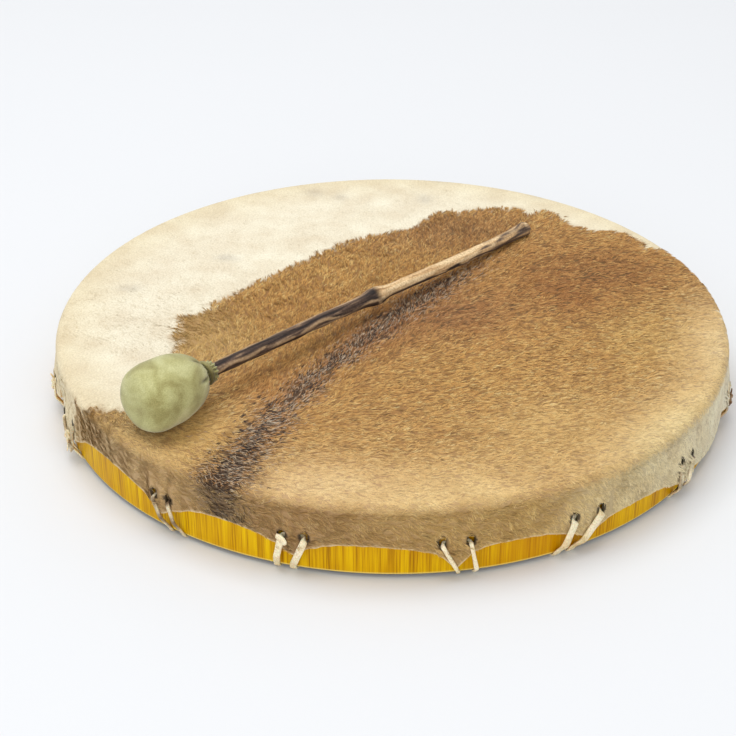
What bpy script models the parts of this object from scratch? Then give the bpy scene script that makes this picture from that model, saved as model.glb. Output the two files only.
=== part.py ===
"""A shaman's frame drum lying with its head up, and the beater that rests on the skin.

Units are metres and +Z is up. The origin is the middle of the drum, on the surface
that it lies on, and the front of the drum faces -Y. A bent wooden hoop carries a
rawhide skin, which folds over the hoop's side. At each lacing point a rawhide lace
passes behind the skin through two slits, runs down over the hoop's foot and ends
round the grip ring in the middle of the open back.
"""

import math
from typing import NamedTuple

import bmesh
import bpy
from mathutils import Vector

# Clearances
TOUCH_GAP = 0.0003
SKIN_GAP = 0.0006

# Hoop
HOOP_RADIUS = 0.248
HOOP_WALL = 0.008
HOOP_DEPTH = 0.0525
HOOP_TOP_ROUND = 0.004
HOOP_FOOT_ROUND = 0.0025
HOOP_STEPS = 72

# Skin: heights of its hem and slits are measured up from the hoop's foot
SKIN_THICK = 0.002
HEM_ARCH = 0.0225
HEM_ARCH_FULLNESS = 0.6
HEM_SWAY = 0.008
HEM_SWAY_ANGLE = 190.0
SLIT_RISE = 0.026
SLIT_WIDTH = 0.0052
SLIT_HEIGHT = 0.0064
PUCKER_MARGIN = 0.006
ARCH_COLUMNS = 3

# Laces
LACE_THICK = 0.002
LACE_WIDTH = 0.0042
LACE_FOOT_SPREAD = 0.011
HIDDEN_SPREAD = 0.017
HIDDEN_LEAN = 0.004
HIDDEN_HEM = 0.012
HIDDEN_FOLD = 0.015
HIDDEN_COUNT = 8
HOOK_START = 80.0
HOOK_TURN = 180.0
HOOK_POINTS = 5

# Grip ring
RING_RADIUS = 0.034
RING_THICK = 0.007
RING_STEPS = 32

# Beater
BEATER_INSET = 0.0337
BEATER_ANGLE = 225.2
BEATER_TURN = 47.5
PAD_LENGTH = 0.063
PAD_WIDTH = 0.0495
PAD_WIDEST = -0.007
PAD_END_FULLNESS = 3.2
PAD_NECK_FULLNESS = 2.2
PAD_SHOULDER = 16.0
PAD_RINGS = 6
PAD_STEPS = 20
NECK_LENGTH = 0.004
NECK_WIDTH = 0.0136
RUFFLE_LENGTH = 0.0045
RUFFLE_WIDTH = 0.0156
TIE_THICK = 0.0018
TIE_STEPS = 16
STICK_THICK = 0.0094
STICK_LENGTH = 0.4015
STICK_IN_PAD = 0.040
KNOT_PLACE = 0.2135
KNOT_LENGTH = 0.009
KNOT_SWELL = 0.0016
KNOB_LENGTH = 0.016
KNOB_SWELL = 0.0014
KNOB_ROUND = 0.85
KNOB_END = 0.45
STICK_BOW = 0.0022


class Lacing(NamedTuple):
    """One lacing point: where it is, and how its slits, strands and hem lie.

    The hem stands at the fold height at its strands, and a tongue of hide hangs between them
    down to the hem height. The sag is how much lower the hem's next arch stands.
    """

    angle: float
    spread: float
    lean: float
    hem: float
    fold: float
    sag: float = 0.0


# The lacing points on the drum's front, from its left side round to its right side.
# The hand-cut slits are unevenly spaced, and each pair of strands leans its own way.
SEEN_LACINGS = (
    Lacing(189.5, 0.016, -0.002, 0.012, 0.0150),
    Lacing(205.0, 0.020, 0.002, 0.012, 0.0180),
    Lacing(232.5, 0.013, 0.009, 0.014, 0.0205),
    Lacing(255.0, 0.015, -0.007, 0.013, 0.0205),
    Lacing(278.7, 0.018, 0.008, 0.007, 0.0195),
    Lacing(299.5, 0.021, -0.014, 0.011, 0.0170),
    Lacing(322.0, 0.014, -0.003, 0.009, 0.0120, 0.010),
    Lacing(346.0, 0.017, 0.003, 0.012, 0.0150),
)

# Levels and radii that follow from the sizes above
HOOP_FOOT = LACE_THICK + TOUCH_GAP
HOOP_TOP = HOOP_FOOT + HOOP_DEPTH
SKIN_UNDER = HOOP_TOP + TOUCH_GAP
SKIN_TOP = SKIN_UNDER + SKIN_THICK
SKIN_INNER = HOOP_RADIUS + SKIN_GAP
SKIN_LIFT = LACE_THICK + TOUCH_GAP
LACE_BEHIND = HOOP_RADIUS + TOUCH_GAP + LACE_THICK / 2
LACE_FRONT = SKIN_INNER + SKIN_LIFT + SKIN_THICK + TOUCH_GAP + LACE_THICK / 2
LACE_UNDER = LACE_THICK / 2
HOOK_STEP = HOOK_TURN / (HOOK_POINTS - 1)
RING_PITCH = math.pi * RING_RADIUS / (len(SEEN_LACINGS) + HIDDEN_COUNT)
RING_CURVE = ((RING_PITCH + LACE_WIDTH) / 2) ** 2 / (2 * RING_RADIUS - RING_THICK)
RING_CHORD = RING_RADIUS * (1 - math.cos(math.pi / RING_STEPS))
HOOK_CLEAR = RING_THICK / 2 + RING_CURVE + RING_CHORD + TOUCH_GAP + LACE_THICK / 2
HOOK_RADIUS = HOOK_CLEAR / math.cos(math.radians(HOOK_STEP / 2))
RING_HEIGHT = HOOK_RADIUS + LACE_THICK
BORE_RADIUS = STICK_THICK / 2 + TOUCH_GAP


def polar(radius, angle, height):
    """Return the point at a radius, an angle in radians and a height."""
    return Vector((radius * math.cos(angle), radius * math.sin(angle), height))


def arc(centre_x, centre_z, radius, start, end, count):
    """Return points of an arc in the XZ plane, angles in degrees from +X towards +Z."""
    points = []
    for index in range(count):
        angle = math.radians(start + (end - start) * index / (count - 1))
        points.append((centre_x + radius * math.cos(angle), centre_z + radius * math.sin(angle)))
    return points


def clear_scene():
    """Remove every object that the scene holds."""
    for item in list(bpy.data.objects):
        bpy.data.objects.remove(item, do_unlink=True)


def make_material(name, colour, roughness, metallic=0.0):
    """Return a Principled material of one colour."""
    material = bpy.data.materials.new(name)
    material.use_nodes = True
    shader = material.node_tree.nodes["Principled BSDF"]
    shader.inputs["Base Color"].default_value = (*colour, 1.0)
    shader.inputs["Roughness"].default_value = roughness
    shader.inputs["Metallic"].default_value = metallic
    return material


def add_object(name, data, material, collection):
    """Put a mesh or a curve in the collection as a named object with its material."""
    data.materials.append(material)
    item = bpy.data.objects.new(name, data)
    collection.objects.link(item)
    return item


def mesh_from(name, build):
    """Return a smooth-shaded mesh that the build function fills."""
    shape = bmesh.new()
    build(shape)
    mesh = bpy.data.meshes.new(name)
    shape.to_mesh(mesh)
    shape.free()
    mesh.shade_smooth()
    return mesh


def add_turned(name, profile, closed, steps, material, collection):
    """Turn a profile of (radius, height) points about the Z axis."""

    def build(shape):
        verts = [shape.verts.new((radius, 0.0, height)) for radius, height in profile]
        pairs = list(zip(verts, verts[1:]))
        if closed:
            pairs.append((verts[-1], verts[0]))
        for first, second in pairs:
            shape.edges.new((first, second))

    item = add_object(name, mesh_from(name, build), material, collection)
    screw = item.modifiers.new("turn", "SCREW")
    screw.steps = steps
    screw.render_steps = steps
    screw.use_merge_vertices = True
    screw.merge_threshold = 0.00001
    screw.use_smooth_shade = True
    return item


class Station(NamedTuple):
    """One place along a strap: its centre, and the direction that the strap is wide in."""

    place: Vector
    wide: Vector


def strap_corners(stations, index):
    """Return the four corners of a strap's section at one station, square to its bend."""
    here = stations[index].place
    before = stations[max(index - 1, 0)].place
    after = stations[min(index + 1, len(stations) - 1)].place
    along = ((here - before).normalized() + (after - here).normalized()).normalized()
    wide = stations[index].wide
    wide = (wide - along * wide.dot(along)).normalized() * LACE_WIDTH / 2
    thin = along.cross(wide).normalized() * LACE_THICK / 2
    return [here + wide + thin, here - wide + thin, here - wide - thin, here + wide - thin]


def add_strap(name, stations, material, collection):
    """Loft a flat strap through its stations and close its ends."""

    def build(shape):
        rings = []
        for index in range(len(stations)):
            rings.append([shape.verts.new(corner) for corner in strap_corners(stations, index)])
        for ring, beyond in zip(rings, rings[1:]):
            for corner in range(4):
                side = (corner + 1) % 4
                shape.faces.new((ring[corner], ring[side], beyond[side], beyond[corner]))
        shape.faces.new(rings[0][::-1])
        shape.faces.new(rings[-1])

    mesh = mesh_from(name, build)
    mesh.set_sharp_from_angle(angle=math.radians(50))
    return add_object(name, mesh, material, collection)


def all_lacings():
    """Return the seen lacing points and the evenly spaced ones at the back, in order."""
    start = SEEN_LACINGS[-1].angle - 360.0
    step = (SEEN_LACINGS[0].angle - start) / (HIDDEN_COUNT + 1)
    hidden = []
    for index in range(HIDDEN_COUNT):
        lean = HIDDEN_LEAN if index % 2 else -HIDDEN_LEAN
        hidden.append(Lacing(start + step * (index + 1), HIDDEN_SPREAD, lean, HIDDEN_HEM, HIDDEN_FOLD))
    return hidden + list(SEEN_LACINGS)


def add_hoop(material, collection):
    """Turn the hoop: a bent strip with a round shoulder and softened foot edges."""
    outer = HOOP_RADIUS
    inner = HOOP_RADIUS - HOOP_WALL
    top = arc(outer - HOOP_TOP_ROUND, HOOP_TOP - HOOP_TOP_ROUND, HOOP_TOP_ROUND, 90, 0, 3)
    foot = arc(outer - HOOP_FOOT_ROUND, HOOP_FOOT + HOOP_FOOT_ROUND, HOOP_FOOT_ROUND, 0, -90, 3)
    inside = arc(inner + HOOP_FOOT_ROUND, HOOP_FOOT + HOOP_FOOT_ROUND, HOOP_FOOT_ROUND, 270, 180, 2)
    crown = arc(inner + HOOP_FOOT_ROUND, HOOP_TOP - HOOP_FOOT_ROUND, HOOP_FOOT_ROUND, 180, 90, 2)
    return add_turned("hoop", top + foot + inside + crown, True, HOOP_STEPS, material, collection)


class Column(NamedTuple):
    """One upright line of the skin's side: its angle, its hem, its lift, and if a slit follows."""

    angle: float
    hem: float
    lift: float
    slit: bool


def arch_height(angle):
    """Return how high the hem stands between two lacing points, near an angle in radians."""
    return HEM_ARCH + HEM_SWAY * math.cos(angle - math.radians(HEM_SWAY_ANGLE))


def skin_columns(lacings):
    """Return the skin's columns once round, close together at the slits."""
    columns = []
    slit_half = SLIT_WIDTH / 2 / HOOP_RADIUS
    margin = PUCKER_MARGIN / HOOP_RADIUS
    following = lacings[1:] + [lacings[0]._replace(angle=lacings[0].angle + 360.0)]
    for lacing, after in zip(lacings, following):
        middle = math.radians(lacing.angle)
        half = lacing.spread / 2 / HOOP_RADIUS
        edge = half + slit_half + margin
        fold = lacing.fold
        columns.append(Column(middle - edge, fold, 0.0, False))
        columns.append(Column(middle - half - slit_half, fold, SKIN_LIFT, True))
        columns.append(Column(middle - half + slit_half, fold, SKIN_LIFT, False))
        columns.append(Column(middle, lacing.hem, SKIN_LIFT, False))
        columns.append(Column(middle + half - slit_half, fold, SKIN_LIFT, True))
        columns.append(Column(middle + half + slit_half, fold, SKIN_LIFT, False))
        columns.append(Column(middle + edge, fold, 0.0, False))
        after_edge = after.spread / 2 / HOOP_RADIUS + slit_half + margin
        start = middle + edge
        end = math.radians(after.angle) - after_edge
        for index in range(ARCH_COLUMNS):
            share = (index + 1) / (ARCH_COLUMNS + 1)
            angle = start + (end - start) * share
            base = fold + (after.fold - fold) * share
            arch = arch_height(angle) - lacing.sag
            rise = math.sin(math.pi * share) ** HEM_ARCH_FULLNESS
            columns.append(Column(angle, base + (arch - base) * rise, 0.0, False))
    return columns


def skin_rows(column):
    """Return one column's (radius, height) points on the inside of the skin, from the top down."""
    fold_round = HOOP_TOP_ROUND + TOUCH_GAP
    rows = arc(SKIN_INNER - fold_round, SKIN_UNDER - fold_round, fold_round, 90, 0, 3)
    radius = SKIN_INNER + column.lift
    slit_top = max(SLIT_RISE + SLIT_HEIGHT / 2, column.hem + SLIT_HEIGHT)
    slit_foot = max(SLIT_RISE - SLIT_HEIGHT / 2, column.hem + SLIT_HEIGHT / 2)
    for rise in (slit_top, slit_foot, column.hem):
        rows.append((radius, HOOP_FOOT + rise))
    return rows


def add_skin(lacings, material, collection):
    """Build the skin as the surface of its inside, with slits, and thicken it outwards."""
    columns = skin_columns(lacings)

    def build(shape):
        centre = shape.verts.new((0.0, 0.0, SKIN_UNDER))
        lines = []
        for column in columns:
            rows = skin_rows(column)
            places = [polar(radius, column.angle, height) for radius, height in rows]
            lines.append([shape.verts.new(place) for place in places])
        slit_row = len(lines[0]) - 3
        for column, line, beside in zip(columns, lines, lines[1:] + lines[:1]):
            shape.faces.new((centre, line[0], beside[0]))
            for row in range(len(line) - 1):
                if column.slit and row == slit_row:
                    continue
                shape.faces.new((line[row], line[row + 1], beside[row + 1], beside[row]))

    item = add_object("skin", mesh_from("skin", build), material, collection)
    solidify = item.modifiers.new("thickness", "SOLIDIFY")
    solidify.thickness = SKIN_THICK
    solidify.offset = 1.0
    solidify.use_even_offset = True
    return item


def strand_stations(lacing, side, ring_turn):
    """Return one strand's stations, from behind its slit out, down, under and to the ring.

    They are in the lacing's own frame, where +X points out through it. The
    ring_turn is the angle from the lacing to its place on the grip ring.
    """
    slit = side * lacing.spread / 2
    foot = lacing.lean + side * LACE_FOOT_SPREAD / 2
    slit_height = HOOP_FOOT + SLIT_RISE
    hem_height = HOOP_FOOT + lacing.hem - LACE_THICK
    near_hem = slit + (foot - slit) * (slit_height - hem_height) / slit_height
    upright = Vector((0.0, 0.0, 1.0))
    sideways = Vector((0.0, 1.0, 0.0))

    def out(along, radius, height):
        return polar(radius, along / HOOP_RADIUS, height)

    mouth = out(slit, LACE_FRONT, slit_height)
    hem = out(near_hem, LACE_FRONT, hem_height)
    flat = Vector((1.0, 0.0, 0.0)).cross(hem - mouth)
    stations = [
        Station(out(slit, LACE_BEHIND, slit_height), upright),
        Station(mouth, flat),
        Station(hem, flat),
    ]
    turn = HOOP_FOOT_ROUND + TOUCH_GAP + LACE_THICK / 2
    corner = arc(HOOP_RADIUS - HOOP_FOOT_ROUND, HOOP_FOOT + HOOP_FOOT_ROUND, turn, 0, -90, 3)
    corner.append((HOOP_RADIUS - HOOP_WALL + HOOP_FOOT_ROUND, LACE_UNDER))
    stations.extend(Station(out(foot, radius, height), sideways) for radius, height in corner)
    radial = polar(1.0, ring_turn, 0.0)
    across = polar(1.0, ring_turn + math.pi / 2, 0.0)
    hook_end = HOOK_START + HOOK_TURN
    for radius, height in arc(RING_RADIUS, RING_HEIGHT, HOOK_RADIUS, HOOK_START, hook_end, HOOK_POINTS):
        place = radial * radius + across * side * RING_PITCH / 2
        place.z = height
        stations.append(Station(place, across))
    return stations


def add_laces(lacings, material, collection):
    """Run each lacing point's lace from the ring, through both slits, back to the ring.

    Behind the skin, the strap lies flat against the hoop, a quarter turn from its strands.
    """
    step = 360.0 / len(lacings)
    phase = sum(lacing.angle - step * index for index, lacing in enumerate(lacings)) / len(lacings)
    for index, lacing in enumerate(lacings):
        ring_turn = math.radians(phase + step * index - lacing.angle)
        left = strand_stations(lacing, -1, ring_turn)
        right = strand_stations(lacing, 1, ring_turn)
        item = add_strap(f"lace_{index + 1:02d}", left[::-1] + right, material, collection)
        item.rotation_euler = (0.0, 0.0, math.radians(lacing.angle))


def add_ring(material, collection):
    """Turn the grip ring that gathers the laces in the middle of the back."""
    profile = arc(RING_RADIUS, RING_HEIGHT, RING_THICK / 2, 90, -210, 6)
    return add_turned("grip_ring", profile, True, RING_STEPS, material, collection)


def pad_point(angle, length, fullness):
    """Return a (radius, place) point on a full rounded curve from the pad's widest place to an end."""
    turn = math.radians(angle)
    radius = PAD_WIDTH / 2 * math.sin(turn) ** (2 / fullness)
    return (radius, PAD_WIDEST + length * math.cos(turn) ** (2 / fullness))


def pad_profile():
    """Return the beater pad's outline as (radius, place along the axis), from its neck down."""
    bore_end = PAD_LENGTH / 2 - STICK_IN_PAD - TOUCH_GAP
    neck = PAD_LENGTH / 2
    mouth = neck + NECK_LENGTH + RUFFLE_LENGTH
    points = [(0.0, bore_end), (BORE_RADIUS, bore_end), (BORE_RADIUS, mouth)]
    points.append((RUFFLE_WIDTH / 2, mouth))
    points.append((NECK_WIDTH / 2, neck + NECK_LENGTH))
    points.append((NECK_WIDTH / 2, neck))
    for index in range(PAD_RINGS):
        angle = PAD_SHOULDER + (90.0 - PAD_SHOULDER) * index / PAD_RINGS
        points.append(pad_point(angle, PAD_LENGTH / 2 - PAD_WIDEST, PAD_NECK_FULLNESS))
    for index in range(PAD_RINGS):
        angle = 90.0 - 90.0 * index / PAD_RINGS
        points.append(pad_point(angle, -PAD_LENGTH / 2 - PAD_WIDEST, PAD_END_FULLNESS))
    points.append((0.0, -PAD_LENGTH / 2))
    return points


def stick_radius(place):
    """Return the stick's radius at a distance from its end in the pad."""
    if place <= STICK_IN_PAD:
        return STICK_THICK / 2
    knot = KNOT_SWELL * math.exp(-((place - KNOT_PLACE) / KNOT_LENGTH) ** 2)
    knob = KNOB_SWELL * math.exp(-((place - STICK_LENGTH) / KNOB_LENGTH) ** 2)
    return STICK_THICK / 2 + knot + knob


def stick_stations():
    """Return distances along the stick, closer together at its knot and its far end."""
    straight = STICK_IN_PAD + NECK_LENGTH + RUFFLE_LENGTH
    knot = [KNOT_PLACE + KNOT_LENGTH * share for share in (-1.8, -0.6, 0.6, 1.8)]
    tip = [STICK_LENGTH - KNOB_LENGTH * share for share in (1.8, 0.8, 0.3, 0.0)]
    near = [straight + (knot[0] - straight) * share for share in (1 / 3, 2 / 3)]
    far = [knot[-1] + (tip[0] - knot[-1]) * share for share in (1 / 4, 2 / 4, 3 / 4)]
    return [0.0, straight] + near + knot + far + tip


def stick_path():
    """Return the stick's centre line in the beater's frame, and its radius at each point."""
    points = []
    radii = []
    start = PAD_LENGTH / 2 - STICK_IN_PAD
    straight = STICK_IN_PAD + NECK_LENGTH + RUFFLE_LENGTH
    for place in stick_stations():
        out = max(0.0, place - straight) / (STICK_LENGTH - straight)
        bow = STICK_BOW * math.sin(math.pi * 2 * out) * out
        points.append(Vector((start + place, bow, 0.0)))
        radii.append(stick_radius(place))
    radii[-1] *= KNOB_END
    radii[-2] *= KNOB_ROUND
    return points, radii


def add_stick(points, shares, material, collection):
    """Sweep the stick along its centre line, with a share of its thickness at each point."""
    curve = bpy.data.curves.new("beater_stick", "CURVE")
    curve.dimensions = "3D"
    curve.bevel_depth = STICK_THICK / 2
    curve.bevel_resolution = 2
    curve.use_fill_caps = True
    spline = curve.splines.new("POLY")
    spline.points.add(len(points) - 1)
    for slot, point, share in zip(spline.points, points, shares):
        slot.co = (*point, 1.0)
        slot.radius = share
    return add_object("beater_stick", curve, material, collection)


def add_beater(pad_material, stick_material, tie_material, collection):
    """Make the beater along its own +X and rest it on the skin by its pad and its far end."""
    profile = pad_profile()
    points, radii = stick_path()
    reach = points[-3].x
    tilt = math.asin((PAD_WIDTH / 2 - radii[-3]) / reach)
    pad_drop = max(radius * math.cos(tilt) + place * math.sin(tilt) for radius, place in profile)
    end_drop = reach * math.sin(tilt) + radii[-3] * math.cos(tilt)
    frame = bpy.data.objects.new("beater_frame", None)
    collection.objects.link(frame)
    height = SKIN_TOP + TOUCH_GAP + max(pad_drop, end_drop)
    frame.location = polar(HOOP_RADIUS - BEATER_INSET, math.radians(BEATER_ANGLE), height)
    frame.rotation_euler = (0.0, tilt, math.radians(BEATER_TURN))

    pad = add_turned("beater_pad", profile, False, PAD_STEPS, pad_material, collection)
    pad.rotation_euler = (0.0, math.pi / 2, 0.0)
    pad.parent = frame

    shares = [radius / (STICK_THICK / 2) for radius in radii]
    stick = add_stick(points, shares, stick_material, collection)
    stick.parent = frame

    tie_radius = NECK_WIDTH / 2 + TOUCH_GAP + TIE_THICK / 2
    tie_profile = arc(tie_radius, PAD_LENGTH / 2 + NECK_LENGTH / 2, TIE_THICK / 2, 90, -210, 6)
    tie = add_turned("beater_tie", tie_profile, True, TIE_STEPS, tie_material, collection)
    tie.rotation_euler = (0.0, math.pi / 2, 0.0)
    tie.parent = frame


def main():
    """Build the drum and its beater."""
    clear_scene()
    collection = bpy.data.collections.new("ritual_frame_drum")
    bpy.context.scene.collection.children.link(collection)
    wood = make_material("varnished_hoop", (0.62, 0.35, 0.03), 0.35)
    hide = make_material("hair_on_rawhide", (0.42, 0.24, 0.10), 0.75)
    rawhide = make_material("rawhide_lace", (0.78, 0.68, 0.45), 0.55)
    steel = make_material("steel_ring", (0.45, 0.44, 0.42), 0.40, 1.0)
    suede = make_material("green_suede", (0.40, 0.42, 0.20), 0.90)
    bark = make_material("branch", (0.16, 0.11, 0.08), 0.70)

    lacings = all_lacings()
    add_hoop(wood, collection)
    add_skin(lacings, hide, collection)
    add_laces(lacings, rawhide, collection)
    add_ring(steel, collection)
    add_beater(suede, bark, rawhide, collection)


main()
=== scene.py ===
"""Dress a shaman's frame drum and its beater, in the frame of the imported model.

Units are metres, +Z is up and the drum's front faces -Y. A haired hide is stretched
over a varnished wooden hoop, folded down its side and laced through slits with
rawhide to a steel grip ring at the open back. A beater with a suede head and a
branch for a handle rests on the hide.
"""

from __future__ import annotations

import logging
import math
from dataclasses import dataclass, field
from enum import Enum

import bpy
import numpy as np
from mathutils import Euler, Matrix, Vector


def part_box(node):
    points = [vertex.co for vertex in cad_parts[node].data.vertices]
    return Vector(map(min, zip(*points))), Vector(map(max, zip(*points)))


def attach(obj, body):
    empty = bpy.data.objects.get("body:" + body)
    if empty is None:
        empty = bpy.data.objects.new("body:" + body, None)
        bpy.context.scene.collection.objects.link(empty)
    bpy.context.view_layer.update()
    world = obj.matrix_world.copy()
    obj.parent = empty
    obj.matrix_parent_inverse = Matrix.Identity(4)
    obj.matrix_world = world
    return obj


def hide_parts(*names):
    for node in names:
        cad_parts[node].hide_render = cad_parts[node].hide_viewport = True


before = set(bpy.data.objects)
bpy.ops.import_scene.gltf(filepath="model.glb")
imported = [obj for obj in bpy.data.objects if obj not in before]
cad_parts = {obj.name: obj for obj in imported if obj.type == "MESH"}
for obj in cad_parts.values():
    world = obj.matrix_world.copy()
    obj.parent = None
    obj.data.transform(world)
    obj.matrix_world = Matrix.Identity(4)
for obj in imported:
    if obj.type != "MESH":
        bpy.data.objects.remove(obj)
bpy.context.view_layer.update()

LOG = logging.getLogger("drum")
BODY = "root"

Socket = bpy.types.NodeSocket
Array = np.ndarray
Pair = tuple[float, float]
Triple = tuple[float, float, float]
Stops = tuple[tuple[float, "Tint"], ...]


class Side(Enum):
    """Which strand of a lacing point: the one clockwise of it, or the one anticlockwise."""

    LEFT = -1
    RIGHT = 1


class Coat(Enum):
    """Which part of the hide's coat a hair grows in."""

    BROWN = "brown"
    IVORY = "ivory"


@dataclass(frozen=True)
class Tint:
    """A colour as a screen shows it, each channel from 0 to 255."""

    red: float
    green: float
    blue: float

    def light(self) -> Array:
        """Return the colour as three linear values."""
        shown = np.array((self.red, self.green, self.blue)) / 255.0
        return np.where(shown <= 0.04045, shown / 12.92, ((shown + 0.055) / 1.055) ** 2.4)

    def socket(self) -> tuple[float, float, float, float]:
        """Return the colour as a shader socket takes it."""
        red, green, blue = self.light()
        return (float(red), float(green), float(blue), 1.0)


def smooth(values: Array, low: float, high: float) -> Array:
    """Return 0 below low, 1 above high and an S-shaped rise between them.

    Args:
        values: The values to map.
        low: Where the rise starts.
        high: Where it ends, below low for a fall.

    Returns:
        The mapped values, from 0 to 1.
    """
    share = np.clip((values - low) / (high - low), 0.0, 1.0)
    return share * share * (3.0 - 2.0 * share)


def in_plan(reach: Array, angle: Array) -> Array:
    """Return places in plan, one row each, from distances from the middle and angles."""
    return np.stack((reach * np.cos(angle), reach * np.sin(angle)), axis=1)


def past(angle: Array, middle: float) -> Array:
    """Return how far angles are past a middle one, within half a turn either way."""
    return np.mod(angle - middle + math.pi, math.tau) - math.pi


def unit(rows: Array) -> Array:
    """Return rows of coordinates, each scaled to a length of one."""
    return rows / np.linalg.norm(rows, axis=1)[:, None]


def blended(first: Array, second: Array, share: Array) -> Array:
    """Return the first colours, moved towards the second ones by a share."""
    return first * (1 - share) + second * share


def ripple(points: Array, size: float, seed: int, waves: int = 7) -> Array:
    """Return a soft irregular ripple from -1 to 1, as a sum of waves in random directions.

    Args:
        points: Places, one row each.
        size: The usual distance between two crests.
        seed: What fixes the directions and phases.
        waves: How many waves are added up.

    Returns:
        One value for each place.
    """
    rng = np.random.default_rng(seed)
    total = np.zeros(len(points))
    for _ in range(waves):
        direction = rng.normal(size=points.shape[1])
        direction /= np.linalg.norm(direction)
        pitch = size * rng.uniform(0.6, 1.7)
        total += np.sin(points @ direction * (math.tau / pitch) + rng.uniform(0, math.tau))
    return total / (0.5 * waves)


def distance_along(points: Array, line: Array) -> tuple[Array, Array]:
    """Measure how far places lie from a line of straight runs.

    Args:
        points: Places in plan, one row each.
        line: The line's corners, one row each.

    Returns:
        Each place's distance to the line, and its nearest point's share of the line's length.
    """
    runs = np.linalg.norm(np.diff(line, axis=0), axis=1)
    starts = np.concatenate(((0.0,), np.cumsum(runs)))
    best = np.full(len(points), np.inf)
    share = np.zeros(len(points))
    for index, run in enumerate(runs):
        step = (line[index + 1] - line[index]) / run
        along = np.clip((points - line[index]) @ step, 0.0, run)
        gap = np.linalg.norm(points - line[index] - along[:, None] * step, axis=1)
        nearer = gap < best
        best = np.where(nearer, gap, best)
        share = np.where(nearer, (starts[index] + along) / starts[-1], share)
    return best, share


def inside(points: Array, outline: Array) -> Array:
    """Tell which places lie inside a closed outline, by counting its crossings.

    Args:
        points: Places in plan, one row each.
        outline: The outline's corners, one row each.

    Returns:
        True for each place inside.
    """
    found = np.zeros(len(points), dtype=bool)
    x, y = points[:, 0], points[:, 1]
    for (x0, y0), (x1, y1) in zip(outline, np.roll(outline, -1, axis=0)):
        spans = (y0 > y) != (y1 > y)
        rise = y1 - y0 if abs(y1 - y0) > 1e-12 else 1e-12
        found ^= spans & (x < (x1 - x0) * (y - y0) / rise + x0)
    return found


WHITE = Tint(255, 255, 255)


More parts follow.
